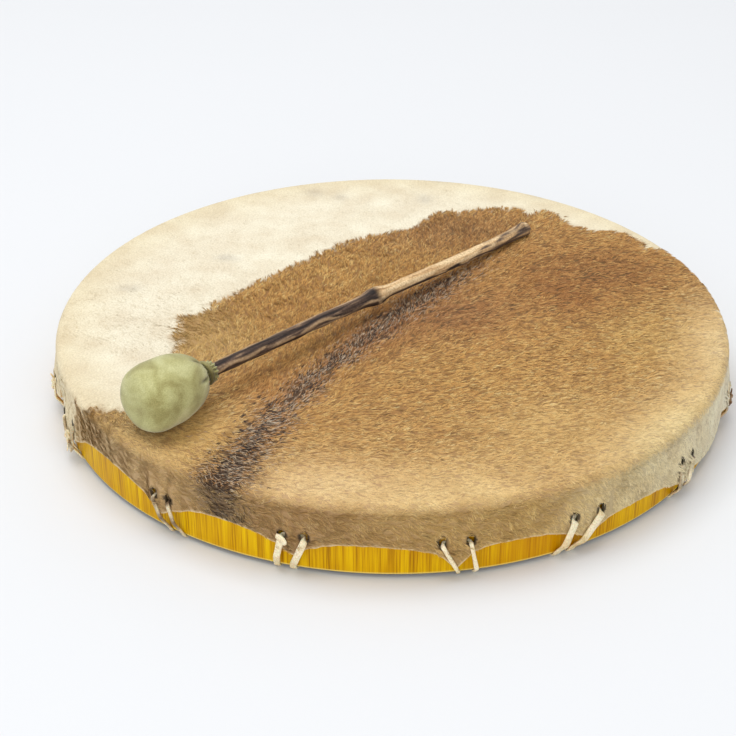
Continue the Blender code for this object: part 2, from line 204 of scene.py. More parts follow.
class Surface:
    """A material in the making: a Principled shader, and short ways to feed it."""

    def __init__(self, name: str) -> None:
        """Start a material.

        Args:
            name: The material's name.
        """
        self.material = bpy.data.materials.new(name)
        self.material.use_nodes = True
        self.tree = self.material.node_tree
        self.shader = self.tree.nodes["Principled BSDF"]

    def add(self, kind: str, **settings: object) -> bpy.types.Node:
        """Add a node.

        Args:
            kind: The node's type, without its common prefix.
            **settings: Properties to set on it.

        Returns:
            The node.
        """
        node = self.tree.nodes.new("ShaderNode" + kind)
        for key, value in settings.items():
            setattr(node, key, value)
        return node

    def feed(self, target: Socket, value: object) -> None:
        """Join a socket to an input, or set the input to a plain value."""
        if isinstance(value, bpy.types.NodeSocket):
            self.tree.links.new(value, target)
        elif isinstance(value, Tint):
            target.default_value = value.socket()
        else:
            target.default_value = value

    def fix(self, **values: object) -> None:
        """Set the shader's own sockets, named with _ for each blank."""
        for key, value in values.items():
            self.feed(self.shader.inputs[key.replace("_", " ")], value)

    def spot(self, stretch: Triple = (1.0, 1.0, 1.0)) -> Socket:
        """Return the place on the object in metres, scaled along each axis."""
        where = self.add("TexCoord").outputs["Object"]
        mapping = self.add("Mapping")
        self.feed(mapping.inputs["Vector"], where)
        mapping.inputs["Scale"].default_value = stretch
        return mapping.outputs["Vector"]

    def noise(self, scale: float, detail: float = 3.0, stretch: Triple = (1.0, 1.0, 1.0),
              twist: float = 0.0, where: Socket | None = None) -> Socket:
        """Add a cloudy pattern.

        Args:
            scale: How many features there are in a metre.
            detail: How many finer layers it has.
            stretch: The scale along each axis; a small one draws the pattern out.
            twist: How far it is distorted.
            where: Coordinates other than the object's own.

        Returns:
            The pattern's value, around 0.5.
        """
        node = self.add("TexNoise")
        self.feed(node.inputs["Vector"], where if where is not None else self.spot(stretch))
        node.inputs["Scale"].default_value = scale
        node.inputs["Detail"].default_value = detail
        node.inputs["Distortion"].default_value = twist
        return node.outputs["Fac"]

    def ramp(self, factor: Socket, stops: Stops) -> Socket:
        """Turn a value into a colour through named stops."""
        node = self.add("ValToRGB")
        self.feed(node.inputs["Fac"], factor)
        marks = node.color_ramp.elements
        while len(marks) < len(stops):
            marks.new(0.5)
        for mark, (place, tint) in zip(marks, stops):
            mark.position = place
            mark.color = tint.socket()
        return node.outputs["Color"]

    def level(self, factor: Socket, low: float, high: float, start: float = 0.0, end: float = 1.0) -> Socket:
        """Map a value's range low to high onto start to end, and hold it there."""
        node = self.add("MapRange")
        self.feed(node.inputs["Value"], factor)
        for key, value in (("From Min", low), ("From Max", high), ("To Min", start), ("To Max", end)):
            node.inputs[key].default_value = value
        return node.outputs["Result"]

    def mix(self, factor: object, first: object, second: object, mode: str = "MIX") -> Socket:
        """Blend two colours by a factor, in a blending mode."""
        node = self.add("Mix", data_type="RGBA", blend_type=mode)
        self.feed(node.inputs[0], factor)
        self.feed(node.inputs[6], first)
        self.feed(node.inputs[7], second)
        return node.outputs[2]

    def sum(self, first: Socket, second: object, operation: str = "ADD") -> Socket:
        """Join two values with an operation."""
        node = self.add("Math", operation=operation)
        self.feed(node.inputs[0], first)
        self.feed(node.inputs[1], second)
        return node.outputs[0]

    def flecked(self, colour: Socket, pattern: Socket, tint: Tint, low: float, high: float) -> Socket:
        """Darken a colour through a pattern.

        Args:
            colour: The colour.
            pattern: The pattern's value.
            tint: What the colour is multiplied by where the pattern is low.
            low: The pattern's value that has the full tint.
            high: The value from where it has none.

        Returns:
            The darkened colour.
        """
        shade = self.ramp(pattern, ((low, tint), (high, WHITE)))
        return self.mix(1.0, colour, shade, "MULTIPLY")

    def read(self, name: str) -> bpy.types.Node:
        """Read a value or colour that the mesh carries by name."""
        return self.add("Attribute", attribute_name=name)

    def bump(self, height: Socket, depth: float, strength: float = 1.0) -> None:
        """Raise the surface by a value, to a depth in metres."""
        node = self.add("Bump")
        self.feed(node.inputs["Height"], height)
        node.inputs["Distance"].default_value = depth
        node.inputs["Strength"].default_value = strength
        self.feed(self.shader.inputs["Normal"], node.outputs["Normal"])


@dataclass(frozen=True)
class VarnishedHoop:
    """Amber varnish over pale wood, with fine upright lines of grain, and painted shade along its foot."""

    deep: Tint = Tint(150, 98, 0)
    amber: Tint = Tint(202, 150, 0)
    bright: Tint = Tint(234, 192, 4)
    orange: Tint = Tint(190, 124, 0)
    edge: Tint = Tint(250, 226, 120)
    # Painted shade: the dark along the foot, for the shade where the hoop meets the floor.
    painted_foot_shade: Tint = Tint(52, 34, 14)

    def make(self) -> bpy.types.Material:
        """Return the material."""
        surface = Surface("varnished_hoop")
        fine = surface.noise(1000.0, 5.0, (1.0, 1.0, 0.02))
        broad = surface.noise(190.0, 3.0, (1.0, 1.0, 0.04), 0.4)
        cloud = surface.noise(11.0, 2.0)
        grain = surface.sum(surface.sum(fine, 0.6, "MULTIPLY"), surface.sum(broad, 0.4, "MULTIPLY"))
        colour = surface.ramp(grain, ((0.36, self.deep), (0.47, self.amber), (0.64, self.bright)))
        colour = surface.mix(surface.level(cloud, 0.42, 0.68, 0.0, 0.6), colour, self.orange)
        colour = surface.mix(surface.read("edge").outputs["Fac"], colour, self.edge)
        # Painted shade along the foot.
        colour = surface.mix(surface.read("painted_foot_shade").outputs["Fac"], colour, self.painted_foot_shade)
        surface.fix(Base_Color=colour, Roughness=surface.level(broad, 0.3, 0.7, 0.34, 0.5))
        surface.fix(Coat_Weight=0.03, Coat_Roughness=0.2, Specular_IOR_Level=0.08)
        surface.bump(grain, 0.00025, 0.5)
        return surface.material


@dataclass(frozen=True)
class HideCoat:
    """Hair or bare hide, which carries its own colour from place to place."""

    name: str
    roughness: float
    fibre: float
    depth: float

    def make(self) -> bpy.types.Material:
        """Return the material."""
        surface = Surface(self.name)
        coat = surface.read("coat").outputs["Color"]
        fleck = surface.noise(self.fibre, 3.0)
        cloud = surface.noise(38.0, 3.0)
        colour = surface.flecked(coat, fleck, Tint(222, 220, 216), 0.25, 0.75)
        colour = surface.flecked(colour, cloud, Tint(240, 234, 228), 0.3, 0.7)
        surface.fix(Base_Color=colour, Specular_IOR_Level=0.28)
        surface.fix(Roughness=surface.level(fleck, 0.2, 0.8, self.roughness - 0.1, self.roughness + 0.1))
        surface.bump(fleck, self.depth, 0.5)
        return surface.material


@dataclass(frozen=True)
class RawhideLace:
    """Cream rawhide, waxy and slightly see-through, darker where it was handled."""

    pale: Tint = Tint(246, 234, 200)
    honey: Tint = Tint(226, 200, 144)
    stain: Tint = Tint(118, 82, 44)
    deep_stain: Tint = Tint(66, 44, 26)

    def make(self) -> bpy.types.Material:
        """Return the material."""
        surface = Surface("rawhide_lace")
        cloud = surface.noise(60.0, 4.0, twist=0.6)
        fibre = surface.noise(900.0, 3.0)
        colour = surface.ramp(cloud, ((0.30, self.honey), (0.55, self.pale)))
        aged = surface.ramp(cloud, ((0.35, self.deep_stain), (0.60, self.stain)))
        uneven = surface.level(cloud, 0.35, 0.6, 0.25, -0.25)
        stained = surface.sum(surface.read("stain").outputs["Fac"], uneven)
        colour = surface.mix(surface.level(stained, 0.25, 0.75), colour, aged)
        surface.fix(Base_Color=surface.flecked(colour, fibre, Tint(222, 214, 200), 0.3, 0.6))
        surface.fix(Roughness=surface.level(fibre, 0.3, 0.7, 0.42, 0.62))
        surface.fix(Subsurface_Weight=0.12, Subsurface_Scale=0.002, Specular_IOR_Level=0.4)
        surface.bump(fibre, 0.0003, 0.6)
        return surface.material


@dataclass(frozen=True)
class GreenSuede:
    """Sage suede with a brushed nap: softly clouded, with painted shade in its folds and grooves."""

    name: str = "green_suede"
    shadow: Tint = Tint(160, 152, 98)
    sage: Tint = Tint(186, 182, 126)
    pale: Tint = Tint(206, 204, 152)
    # Painted shade for the folds and the grooves.
    fold: Tint = Tint(74, 68, 38)

    def make(self) -> bpy.types.Material:
        """Return the material."""
        surface = Surface(self.name)
        nap = surface.noise(48.0, 4.0, twist=0.5)
        fuzz = surface.noise(1500.0, 3.0)
        colour = surface.ramp(nap, ((0.34, self.shadow), (0.50, self.sage), (0.66, self.pale)))
        colour = surface.flecked(colour, fuzz, Tint(216, 216, 206), 0.3, 0.7)
        # Painted shade in the folds of the gathers and along the grooves.
        colour = surface.mix(surface.read("painted_fold_shade").outputs["Fac"], colour, self.fold)
        surface.fix(Base_Color=colour, Roughness=surface.level(fuzz, 0.3, 0.7, 0.82, 0.98))
        surface.fix(Sheen_Weight=0.25, Sheen_Roughness=0.5, Specular_IOR_Level=0.12)
        surface.bump(surface.sum(fuzz, surface.sum(nap, 1.2, "MULTIPLY")), 0.0003, 0.6)
        return surface.material


@dataclass(frozen=True)
class BranchBark:
    """A branch with charcoal bark towards its head and peeled tan wood beyond its knot.

    A broken pale scrape runs along the bark, with a thin pale line along its top as a painted
    highlight, and a dark strip runs along the underside of the peeled wood as painted shade.
    """

    char: Tint = Tint(40, 30, 27)
    bark: Tint = Tint(96, 76, 64)
    scrape: Tint = Tint(204, 172, 134)
    wood: Tint = Tint(244, 216, 170)
    honey: Tint = Tint(222, 184, 134)
    shade: Tint = Tint(164, 122, 80)
    tip: Tint = Tint(112, 94, 80)

    def make(self) -> bpy.types.Material:
        """Return the material."""
        surface = Surface("branch")
        where = surface.read("grain").outputs["Vector"]
        long_grain = surface.noise(1.0, 5.0, twist=0.5, where=where)
        fleck = surface.noise(650.0, 3.0)
        dark = surface.ramp(long_grain, ((0.38, self.char), (0.56, self.bark), (0.74, self.scrape)))
        pale = surface.ramp(long_grain, ((0.30, self.shade), (0.42, self.honey), (0.58, self.wood)))
        # Painted shade: the dark strip along the underside of the peeled wood.
        strip = surface.ramp(long_grain, ((0.35, self.char), (0.60, self.bark)))
        bare = surface.ramp(long_grain, ((0.35, self.honey), (0.60, self.scrape)))
        peel = surface.read("peel").outputs["Fac"]
        colour = surface.mix(peel, dark, pale)
        scrape_and_painted_light = surface.read("scrape_and_painted_light").outputs["Fac"]
        colour = surface.mix(scrape_and_painted_light, colour, surface.mix(peel, bare, strip))
        end = surface.ramp(long_grain, ((0.34, self.char), (0.50, self.tip), (0.66, self.honey)))
        colour = surface.mix(surface.read("tip").outputs["Fac"], colour, end)
        surface.fix(Base_Color=surface.flecked(colour, fleck, Tint(200, 194, 188), 0.3, 0.65))
        surface.fix(Roughness=surface.level(long_grain, 0.3, 0.7, 0.55, 0.8), Specular_IOR_Level=0.3)
        surface.bump(surface.sum(long_grain, surface.sum(fleck, 0.4, "MULTIPLY")), 0.0006, 0.8)
        return surface.material


@dataclass(frozen=True)
class SteelRing:
    """Dull steel with a fine brushing and light tarnish."""

    bright: Tint = Tint(188, 184, 176)
    tarnish: Tint = Tint(120, 108, 92)

    def make(self) -> bpy.types.Material:
        """Return the material."""
        surface = Surface("steel_ring")
        brush = surface.noise(1400.0, 3.0, (1.0, 1.0, 0.15))
        cloud = surface.noise(70.0, 4.0)
        colour = surface.mix(surface.level(cloud, 0.5, 0.7), self.bright, self.tarnish)
        surface.fix(Base_Color=colour, Metallic=1.0, Roughness=surface.level(brush, 0.3, 0.7, 0.28, 0.48))
        surface.bump(brush, 0.0001, 0.4)
        return surface.material


@dataclass(frozen=True)
class StudioFloor:
    """A plain pale floor with a barely uneven matt paint."""

    paint: Tint = Tint(223, 225, 228)

    def make(self) -> bpy.types.Material:
        """Return the material."""
        surface = Surface("studio_floor")
        cloud = surface.noise(6.0, 2.0)
        surface.fix(Base_Color=self.paint, Specular_IOR_Level=0.2)
        surface.fix(Roughness=surface.level(cloud, 0.3, 0.7, 0.62, 0.7))
        return surface.material


def add_piece(name: str, mesh: bpy.types.Mesh, material: bpy.types.Material,
              nodes: tuple[str, ...] = ()) -> bpy.types.Object:
    """Put a mesh in the scene as a piece of the object.

    Args:
        name: The piece's name.
        mesh: Its mesh, in the object's own frame.
        material: Its finish.
        nodes: The solids that it stands for.

    Returns:
        The piece.
    """
    mesh.materials.append(material)
    piece = bpy.data.objects.new(name, mesh)
    bpy.context.scene.collection.objects.link(piece)
    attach(piece, BODY)
    if nodes:
        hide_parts(*nodes)
    LOG.info("%s: %d faces", name, len(mesh.polygons))
    return piece


def grid_faces(rows: int, columns: int, closed_rows: bool) -> list[list[int]]:
    """Return the faces that skin a grid whose columns close round.

    Args:
        rows: How many rows it has.
        columns: How many columns it has.
        closed_rows: True where the last row joins the first, as on a ring, so that no row is capped.

    Returns:
        Each face's corners, numbered row by row.
    """
    index = np.arange(rows * columns).reshape(rows, columns)
    ahead = np.roll(index, -1, axis=0) if closed_rows else index[1:]
    here = index if closed_rows else index[:-1]
    quads = np.stack((here, np.roll(here, -1, axis=1), np.roll(ahead, -1, axis=1), ahead), axis=-1)
    faces = quads.reshape(-1, 4).tolist()
    return faces if closed_rows else [*faces, index[0][::-1].tolist(), index[-1].tolist()]


def tube_mesh(name: str, *tubes: tuple[Array, bool]) -> bpy.types.Mesh:
    """Skin one or more tubes as one mesh.

    Args:
        name: The mesh's name.
        *tubes: For each, its places as rows, columns and coordinates, and whether its rows close.

    Returns:
        A smooth-shaded mesh.
    """
    places: list[list[float]] = []
    faces: list[list[int]] = []
    for points, closed_rows in tubes:
        start = len(places)
        for face in grid_faces(*points.shape[:2], closed_rows):
            faces.append([start + corner for corner in face])
        places.extend(points.reshape(-1, 3).tolist())
    mesh = bpy.data.meshes.new(name)
    mesh.from_pydata(places, [], faces)
    mesh.shade_smooth()
    return mesh


def turned_profile(profile: Array, steps: int) -> Array:
    """Turn a section round the upright axis.

    Args:
        profile: The section as (radius, height) rows.
        steps: How many times it is set round the axis.

    Returns:
        Places as steps, rows of the section and coordinates.
    """
    turn = np.linspace(0.0, math.tau, steps, endpoint=False)
    radius = np.repeat(profile[None, :, 0], steps, axis=0)
    height = np.repeat(profile[None, :, 1], steps, axis=0)
    return np.stack((radius * np.cos(turn)[:, None], radius * np.sin(turn)[:, None], height), axis=-1)


def set_values(mesh: bpy.types.Mesh, name: str, values: Array) -> None:
    """Store a value, a vector or a colour at each vertex under a name."""
    width = 1 if values.ndim == 1 else values.shape[1]
    kind, key = {1: ("FLOAT", "value"), 3: ("FLOAT_VECTOR", "vector"), 4: ("FLOAT_COLOR", "color")}[width]
    layer = mesh.attributes.new(name, kind, "POINT")
    layer.data.foreach_set(key, np.ascontiguousarray(values, dtype=np.float32).ravel())


def with_alpha(colours: Array) -> Array:
    """Add a full alpha to rows of colours."""
    return np.concatenate((colours, np.ones((len(colours), 1))), axis=1)


@dataclass(frozen=True)
class Lacing:
    """One lacing point: its angle in degrees, its slits' spread, its lean and its hem's heights.

    The hem stands at the fold height at its strands, and a tongue of hide hangs between them
    down to the hem height. The sag is how much lower the hem's next arch stands. The stain is
    how dark its lace has become, and the width is its lace's share of the usual width.
    Where it is bare, no hair covers the lace.
    """

    angle: float
    spread: float
    lean: float
    hem: float
    fold: float
    sag: float = 0.0
    stain: float = 0.2
    width: float = 1.0
    bare: bool = False


@dataclass
class DrumBody:
    """The sizes that the hoop, the hide and the laces share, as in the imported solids."""

    wall: float = 0.008
    foot_round: float = 0.0025
    hide_thick: float = 0.002
    shoulder: float = 0.0063
    lace_thick: float = 0.002
    lace_width: float = 0.0042
    touch: float = 0.0003
    slit_rise: float = 0.026
    slit_half_width: float = 0.0027
    slit_half_height: float = 0.0036
    slit_rise_over_lace: float = 0.0022
    foot_spread: float = 0.011
    strand_half: float = 0.0026
    pucker_margin: float = 0.006
    hem_arch: float = 0.0225
    hem_sway: float = 0.008
    hem_sway_angle: float = 190.0
    hem_fullness: float = 0.6
    hidden: int = 8
    hidden_spread: float = 0.017
    hidden_lean: float = 0.004
    hidden_hem: float = 0.012
    hidden_fold: float = 0.015
    seen: tuple[Lacing, ...] = (
        Lacing(189.5, 0.016, -0.002, 0.012, 0.0150, 0.0, 0.3),
        Lacing(205.0, 0.020, 0.002, 0.012, 0.0180, 0.0, 0.35),
        Lacing(232.5, 0.013, 0.009, 0.014, 0.0205, 0.0, 0.62, 0.65),
        Lacing(255.0, 0.015, -0.007, 0.013, 0.0205, 0.0, 0.1),
        Lacing(278.7, 0.018, 0.008, 0.007, 0.0195, 0.0, 0.3, 0.6),
        Lacing(299.5, 0.021, -0.014, 0.011, 0.0170, 0.0, 0.05, 1.3, True),
        Lacing(322.0, 0.014, -0.003, 0.009, 0.0120, 0.010, 0.5),
        Lacing(346.0, 0.017, 0.003, 0.012, 0.0150, 0.0, 0.6),
    )
    foot: float = field(init=False)
    radius: float = field(init=False)
    crown: float = field(init=False)
    top: float = field(init=False)

    def __post_init__(self) -> None:
        """Take the hoop's and the hide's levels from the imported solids."""
        low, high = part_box("hoop")
        self.foot = low.z
        self.crown = high.z
        self.radius = high.x
        self.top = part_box("skin")[1].z

    @property
    def side(self) -> float:
        """Return the radius of the hide's side."""
        return self.radius + 2 * self.touch + self.hide_thick

    def lacings(self) -> list[Lacing]:
        """Return every lacing point, the hidden ones at the back first, in order of angle."""
        start = self.seen[-1].angle - 360.0
        step = (self.seen[0].angle - start) / (self.hidden + 1)
        points = []
        for index in range(self.hidden):
            lean = self.hidden_lean if index % 2 else -self.hidden_lean
            points.append(Lacing(start + step * (index + 1), self.hidden_spread, lean,
                                 self.hidden_hem, self.hidden_fold))
        return points + list(self.seen)


@dataclass(frozen=True)
class Pucker:
    """The fine folds that fan out in the hide from a lacing point."""

    width: float = 0.013
    height: float = 0.012
    origin: float = 0.022
    depth: float = 0.0007
    folds: float = 19.0

    def rise(self, across: Array, up: Array, phase: float) -> Array:
        """Return how far the folds stand out.

        Args:
            across: Distances across from the lacing point.
            up: Distances up from its slits.
            phase: What sets where a fold has its crest.

        Returns:
            The rise at each place, less than 0 in a dip.
        """
        near = np.exp(-((across / self.width) ** 2) - (up / self.height) ** 2)
        fan = np.arctan2(across, up + self.origin)
        return near * self.depth * np.cos(fan * self.folds + phase)


class HideShape:
    """The hide's outer surface, unrolled as a disc: the head, the shoulder and the side.

    A place on it is its reach, which is its distance from the middle along the hide,
    and its angle round the drum in radians.
    """

    ARCH_STEPS = 13
    FAR_FROM_LACES = 1.0
    BARE_HALF = 0.0032
    COVERED_HALF = 0.0022
    HEM_BAND = 0.0075
    LACE_RISE = 0.0029
    LACE_RISE_HALF = 0.0034

    def __init__(self, body: DrumBody) -> None:
        """Work out the hem and the puckers from the lacing points.

        Args:
            body: The drum's shared sizes.
        """
        self.body = body
        self.pucker = Pucker()
        self.head = body.side - body.shoulder
        self.bend = body.shoulder * math.pi / 2
        angles, hems, lifts = self.columns()
        self.angles = np.concatenate((angles - math.tau, angles, angles + math.tau))
        self.hems = np.tile(hems, 3)
        self.lifts = np.tile(lifts, 3)

    def columns(self) -> tuple[Array, Array, Array]:
        """Return the angles, hem heights and lifts of the side's main upright lines."""
        body = self.body
        lacings = body.lacings()
        following = lacings[1:] + [lacings[0]]
        rows: list[tuple[float, float, float]] = []
        for index, (lacing, after) in enumerate(zip(lacings, following)):
            middle = math.radians(lacing.angle)
            half = (lacing.spread / 2 + body.strand_half) / body.radius
            edge = half + body.pucker_margin / body.radius
            fold = lacing.fold
            lift = body.lace_thick + body.touch
            rows.extend(((middle - edge, fold, 0.0), (middle - half, fold, lift), (middle, lacing.hem, lift)))
            rows.extend(((middle + half, fold, lift), (middle + edge, fold, 0.0)))
            turn = math.tau if index == len(lacings) - 1 else 0.0
            end = math.radians(after.angle) + turn
            end -= (after.spread / 2 + body.strand_half + body.pucker_margin) / body.radius
            for share in np.linspace(0.0, 1.0, self.ARCH_STEPS + 1)[1:-1]:
                angle = middle + edge + (end - middle - edge) * share
                base = fold + (after.fold - fold) * share
                sway = body.hem_sway * math.cos(angle - math.radians(body.hem_sway_angle))
                arch = body.hem_arch + sway - lacing.sag
                rise = math.sin(math.pi * share) ** body.hem_fullness
                rows.append((angle, base + (arch - base) * rise, 0.0))
        table = np.array(rows)
        return table[:, 0], table[:, 1], table[:, 2]

    def hem_height(self, angle: Array) -> Array:
        """Return the height of the hem at each angle."""
        turned = np.mod(angle, math.tau)
        ragged = ripple(np.stack((turned * 0.25, turned * 0), axis=1), 0.006, 4)
        return self.body.foot + np.interp(turned, self.angles, self.hems) + 0.0004 * ragged

    def hem_reach(self, angle: Array) -> Array:
        """Return the reach of the hem at each angle."""
        shoulder_foot = self.body.top - self.body.shoulder
        return self.head + self.bend + shoulder_foot - self.hem_height(angle)

    def lift(self, angle: Array, down: Array) -> Array:
        """Return how far the side bulges out over the laces behind it.

        Args:
            angle: Angles round the drum.
            down: Distances down the side from the shoulder.

        Returns:
            The bulge at each place.
        """
        body = self.body
        full = body.top - body.shoulder - body.foot - body.slit_rise - 0.002
        bulge = np.interp(np.mod(angle, math.tau), self.angles, self.lifts)
        fold = np.zeros_like(bulge)
        for lacing in body.lacings():
            across = past(angle, math.radians(lacing.angle)) * body.radius
            fold += self.pucker.rise(across, full - down, lacing.angle)
        return bulge * smooth(down, 0.0, full) + fold * smooth(down, 0.001, 0.006)

    def place(self, reach: Array, angle: Array, rise: Array | float = 0.0) -> Array:
        """Return the places at a reach and an angle, raised off the hide.

        Args:
            reach: Distances from the middle along the hide.
            angle: Angles round the drum.
            rise: Distances out from the hide's surface.

        Returns:
            Places in the object's frame, one row each.
        """
        body = self.body
        flat = np.minimum(reach, self.head)
        turn = np.clip((reach - self.head) / body.shoulder, 0.0, math.pi / 2)
        down = np.maximum(reach - self.head - self.bend, 0.0)
        out = np.sin(turn)
        radius = flat + (body.shoulder + rise) * out + self.lift(angle, down) * (down > 0)
        height = body.top - body.shoulder + (body.shoulder + rise) * np.cos(turn) - down
        return np.stack((radius * np.cos(angle), radius * np.sin(angle), height), axis=-1)

    def in_slit(self, reach: Array, angle: Array, margin: float = 0.0) -> Array:
        """Tell which places lie in a slit, or within a margin of one."""
        body = self.body
        height = body.top - body.shoulder - (reach - self.head - self.bend)
        up = height - body.foot - body.slit_rise - body.slit_rise_over_lace
        found = np.zeros(len(reach), dtype=bool)
        for lacing in body.lacings():
            for side in Side:
                middle = math.radians(lacing.angle) + side.value * lacing.spread / 2 / body.radius
                across = past(angle, middle) * body.radius
                wide = across / (body.slit_half_width + margin)
                found |= wide**2 + (up / (body.slit_half_height + margin)) ** 2 < 1.0
        return found

    def lace_gap(self, reach: Array, angle: Array, bare: bool) -> Array:
        """Return the distance to the middle of the nearest strand that lies on the hide.

        Args:
            reach: Distances from the middle along the hide.
            angle: Angles round the drum.
            bare: Which strands: the bare ones, or the ones that hair covers.

        Returns:
            The distance at each place, and a large one away from the strands.
        """
        body = self.body
        height = body.top - body.shoulder - (reach - self.head - self.bend)
        slit_height = body.foot + body.slit_rise
        best = np.full(len(reach), self.FAR_FROM_LACES)
        for lacing in body.lacings():
            if lacing.bare is not bare:
                continue
            across = past(angle, math.radians(lacing.angle)) * body.radius
            for side in Side:
                slit = side.value * lacing.spread / 2
                foot = lacing.lean + side.value * body.foot_spread / 2
                line = slit + (foot - slit) * (slit_height - height) / (body.slit_rise - body.foot_round)
                below = height < slit_height + 0.001
                best = np.minimum(best, np.where(below, np.abs(across - line), self.FAR_FROM_LACES))
        return best

    def bare(self, reach: Array, angle: Array) -> Array:
        """Tell which places are kept clear of hair, along the bare strands and near the hem."""
        near_hem = self.hem_reach(angle) - reach < self.HEM_BAND
        covered = (self.lace_gap(reach, angle, False) < self.COVERED_HALF) & near_hem
        return (self.lace_gap(reach, angle, True) < self.BARE_HALF) | covered

    def over_lace(self, reach: Array, angle: Array) -> Array:
        """Return how far hair is lifted where it lies over a strand."""
        gap = self.lace_gap(reach, angle, False)
        return self.LACE_RISE * np.exp(-((gap / self.LACE_RISE_HALF) ** 2))


@dataclass(frozen=True)
class Patch:
    """A soft oval of colour on the unrolled hide: its middle, half sizes, turn, strength and tint."""

    x: float
    y: float
    length: float
    width: float
    turn: float
    strength: float
    tint: Tint

    def weight(self, plan: Array) -> Array:
        """Return how strongly the patch colours each place."""
        angle = math.radians(self.turn)
        shift = plan - np.array((self.x, self.y))
        along = (shift[:, 0] * math.cos(angle) + shift[:, 1] * math.sin(angle)) / self.length
        across = (-shift[:, 0] * math.sin(angle) + shift[:, 1] * math.cos(angle)) / self.width
        return self.strength * np.exp(-(along**2) - across**2)


def smudge(x: float, y: float, length: float, width: float, strength: float) -> Patch:
    """Return a faint grey smudge on the ivory hide."""
    return Patch(x, y, length, width, 0.0, strength, Tint(176, 172, 166))


@dataclass(frozen=True)
class CoatPattern:
    """The coat's colours: brown in front and to the right, ivory behind, and a dark stripe."""

    brown: Tint = Tint(186, 140, 84)
    ivory: Tint = Tint(247, 240, 218)
    ivory_edge: Tint = Tint(236, 222, 184)
    stripe_dark: Tint = Tint(58, 43, 34)
    stripe_wash: Tint = Tint(110, 82, 58)
    stripe_grey: Tint = Tint(200, 178, 150)
    border: tuple[Pair, ...] = (
        (-0.183, -0.139), (-0.157, -0.055), (-0.162, -0.006), (-0.141, -0.001), (-0.137, 0.014),
        (-0.110, 0.040), (-0.088, 0.067), (-0.068, 0.086), (-0.040, 0.117), (-0.018, 0.130),
        (0.016, 0.141), (0.042, 0.177), (0.062, 0.179), (0.082, 0.183), (0.110, 0.183),
        (0.118, 0.169), (0.122, 0.179), (0.139, 0.177), (0.144, 0.161), (0.151, 0.150),
        (0.167, 0.140), (0.189, 0.140), (0.200, 0.125), (0.208, 0.110), (0.222, 0.105), (0.234, 0.082),
        (0.244, 0.050), (0.248, 0.010), (0.248, -0.030), (0.252, -0.060),
    )
    border_start: float = 208.0
    border_end: float = 340.0
    border_start_reach: float = 0.252
    border_corner: Pair = (-0.219, -0.130)
    skirt_reach: float = 0.33
    ivory_edge_reach: Pair = (0.19, 0.27)
    side_reach: Pair = (0.2495, 0.2555)
    stripe: tuple[Pair, ...] = (
        (0.100, 0.110), (0.063, 0.070), (0.006, 0.000), (-0.027, -0.050), (-0.057, -0.097),
        (-0.080, -0.140), (-0.097, -0.180), (-0.114, -0.220), (-0.126, -0.250), (-0.140, -0.290),
    )
    patches: tuple[Patch, ...] = (
        Patch(-0.144, -0.033, 0.040, 0.045, 0.0, 0.95, Tint(222, 184, 124)),
        Patch(-0.088, 0.005, 0.050, 0.045, 40.0, 0.70, Tint(184, 136, 80)),
        Patch(0.054, 0.139, 0.070, 0.040, 10.0, 0.85, Tint(148, 116, 80)),
        Patch(0.161, 0.062, 0.070, 0.060, 0.0, 0.95, Tint(124, 94, 56)),
        Patch(0.135, 0.020, 0.050, 0.026, -60.0, 0.70, Tint(128, 90, 50)),
        # These two patches below the stick are darker brown coat, and also paint the stick's shadow there.
        Patch(0.044, -0.003, 0.060, 0.044, 30.0, 0.92, Tint(122, 94, 62)),
        Patch(-0.012, -0.030, 0.045, 0.026, 55.0, 0.85, Tint(118, 90, 62)),
        Patch(0.057, -0.097, 0.060, 0.045, 0.0, 0.70, Tint(188, 142, 84)),
        Patch(0.196, -0.041, 0.050, 0.050, 0.0, 0.80, Tint(199, 159, 98)),
        Patch(0.240, -0.050, 0.085, 0.030, 76.0, 0.97, Tint(228, 198, 152)),
        Patch(0.186, -0.165, 0.090, 0.036, 46.0, 0.97, Tint(234, 208, 158)),
        Patch(0.100, -0.160, 0.060, 0.040, 30.0, 0.70, Tint(216, 176, 118)),
        Patch(0.034, -0.236, 0.095, 0.038, 0.0, 0.95, Tint(228, 192, 139)),
        Patch(-0.052, -0.226, 0.055, 0.034, 0.0, 0.90, Tint(232, 195, 147)),
        Patch(-0.010, -0.168, 0.050, 0.036, 0.0, 0.70, Tint(198, 152, 96)),
        Patch(-0.090, -0.105, 0.045, 0.030, 50.0, 0.60, Tint(172, 120, 74)),
        Patch(-0.133, -0.165, 0.044, 0.034, -40.0, 0.95, Tint(226, 180, 118)),
        Patch(-0.186, -0.158, 0.035, 0.028, 0.0, 0.90, Tint(176, 146, 96)),
        Patch(-0.168, -0.196, 0.055, 0.026, -48.0, 0.95, Tint(226, 190, 136)),
    )
    smudges: tuple[Patch, ...] = (
        smudge(-0.203, 0.040, 0.008, 0.006, 0.35),
        smudge(-0.131, 0.092, 0.008, 0.006, 0.45),
        smudge(-0.064, 0.217, 0.008, 0.008, 0.35),
        smudge(-0.042, 0.208, 0.006, 0.007, 0.35),
        smudge(0.031, 0.204, 0.007, 0.008, 0.40),
        smudge(0.049, 0.245, 0.009, 0.007, 0.30),
        smudge(0.132, 0.213, 0.008, 0.008, 0.30),
    )
    side_tints: tuple[tuple[float, Tint], ...] = (
        (-160.0, Tint(226, 200, 158)), (-140.0, Tint(226, 196, 148)), (-122.0, Tint(218, 180, 128)),
        (-105.0, Tint(196, 158, 110)), (-90.0, Tint(208, 170, 114)), (-70.0, Tint(208, 172, 112)),
        (-61.0, Tint(224, 198, 148)), (-52.0, Tint(226, 208, 164)), (-32.0, Tint(246, 232, 198)),
        (-12.0, Tint(248, 238, 214)), (20.0, Tint(248, 242, 226)),
    )

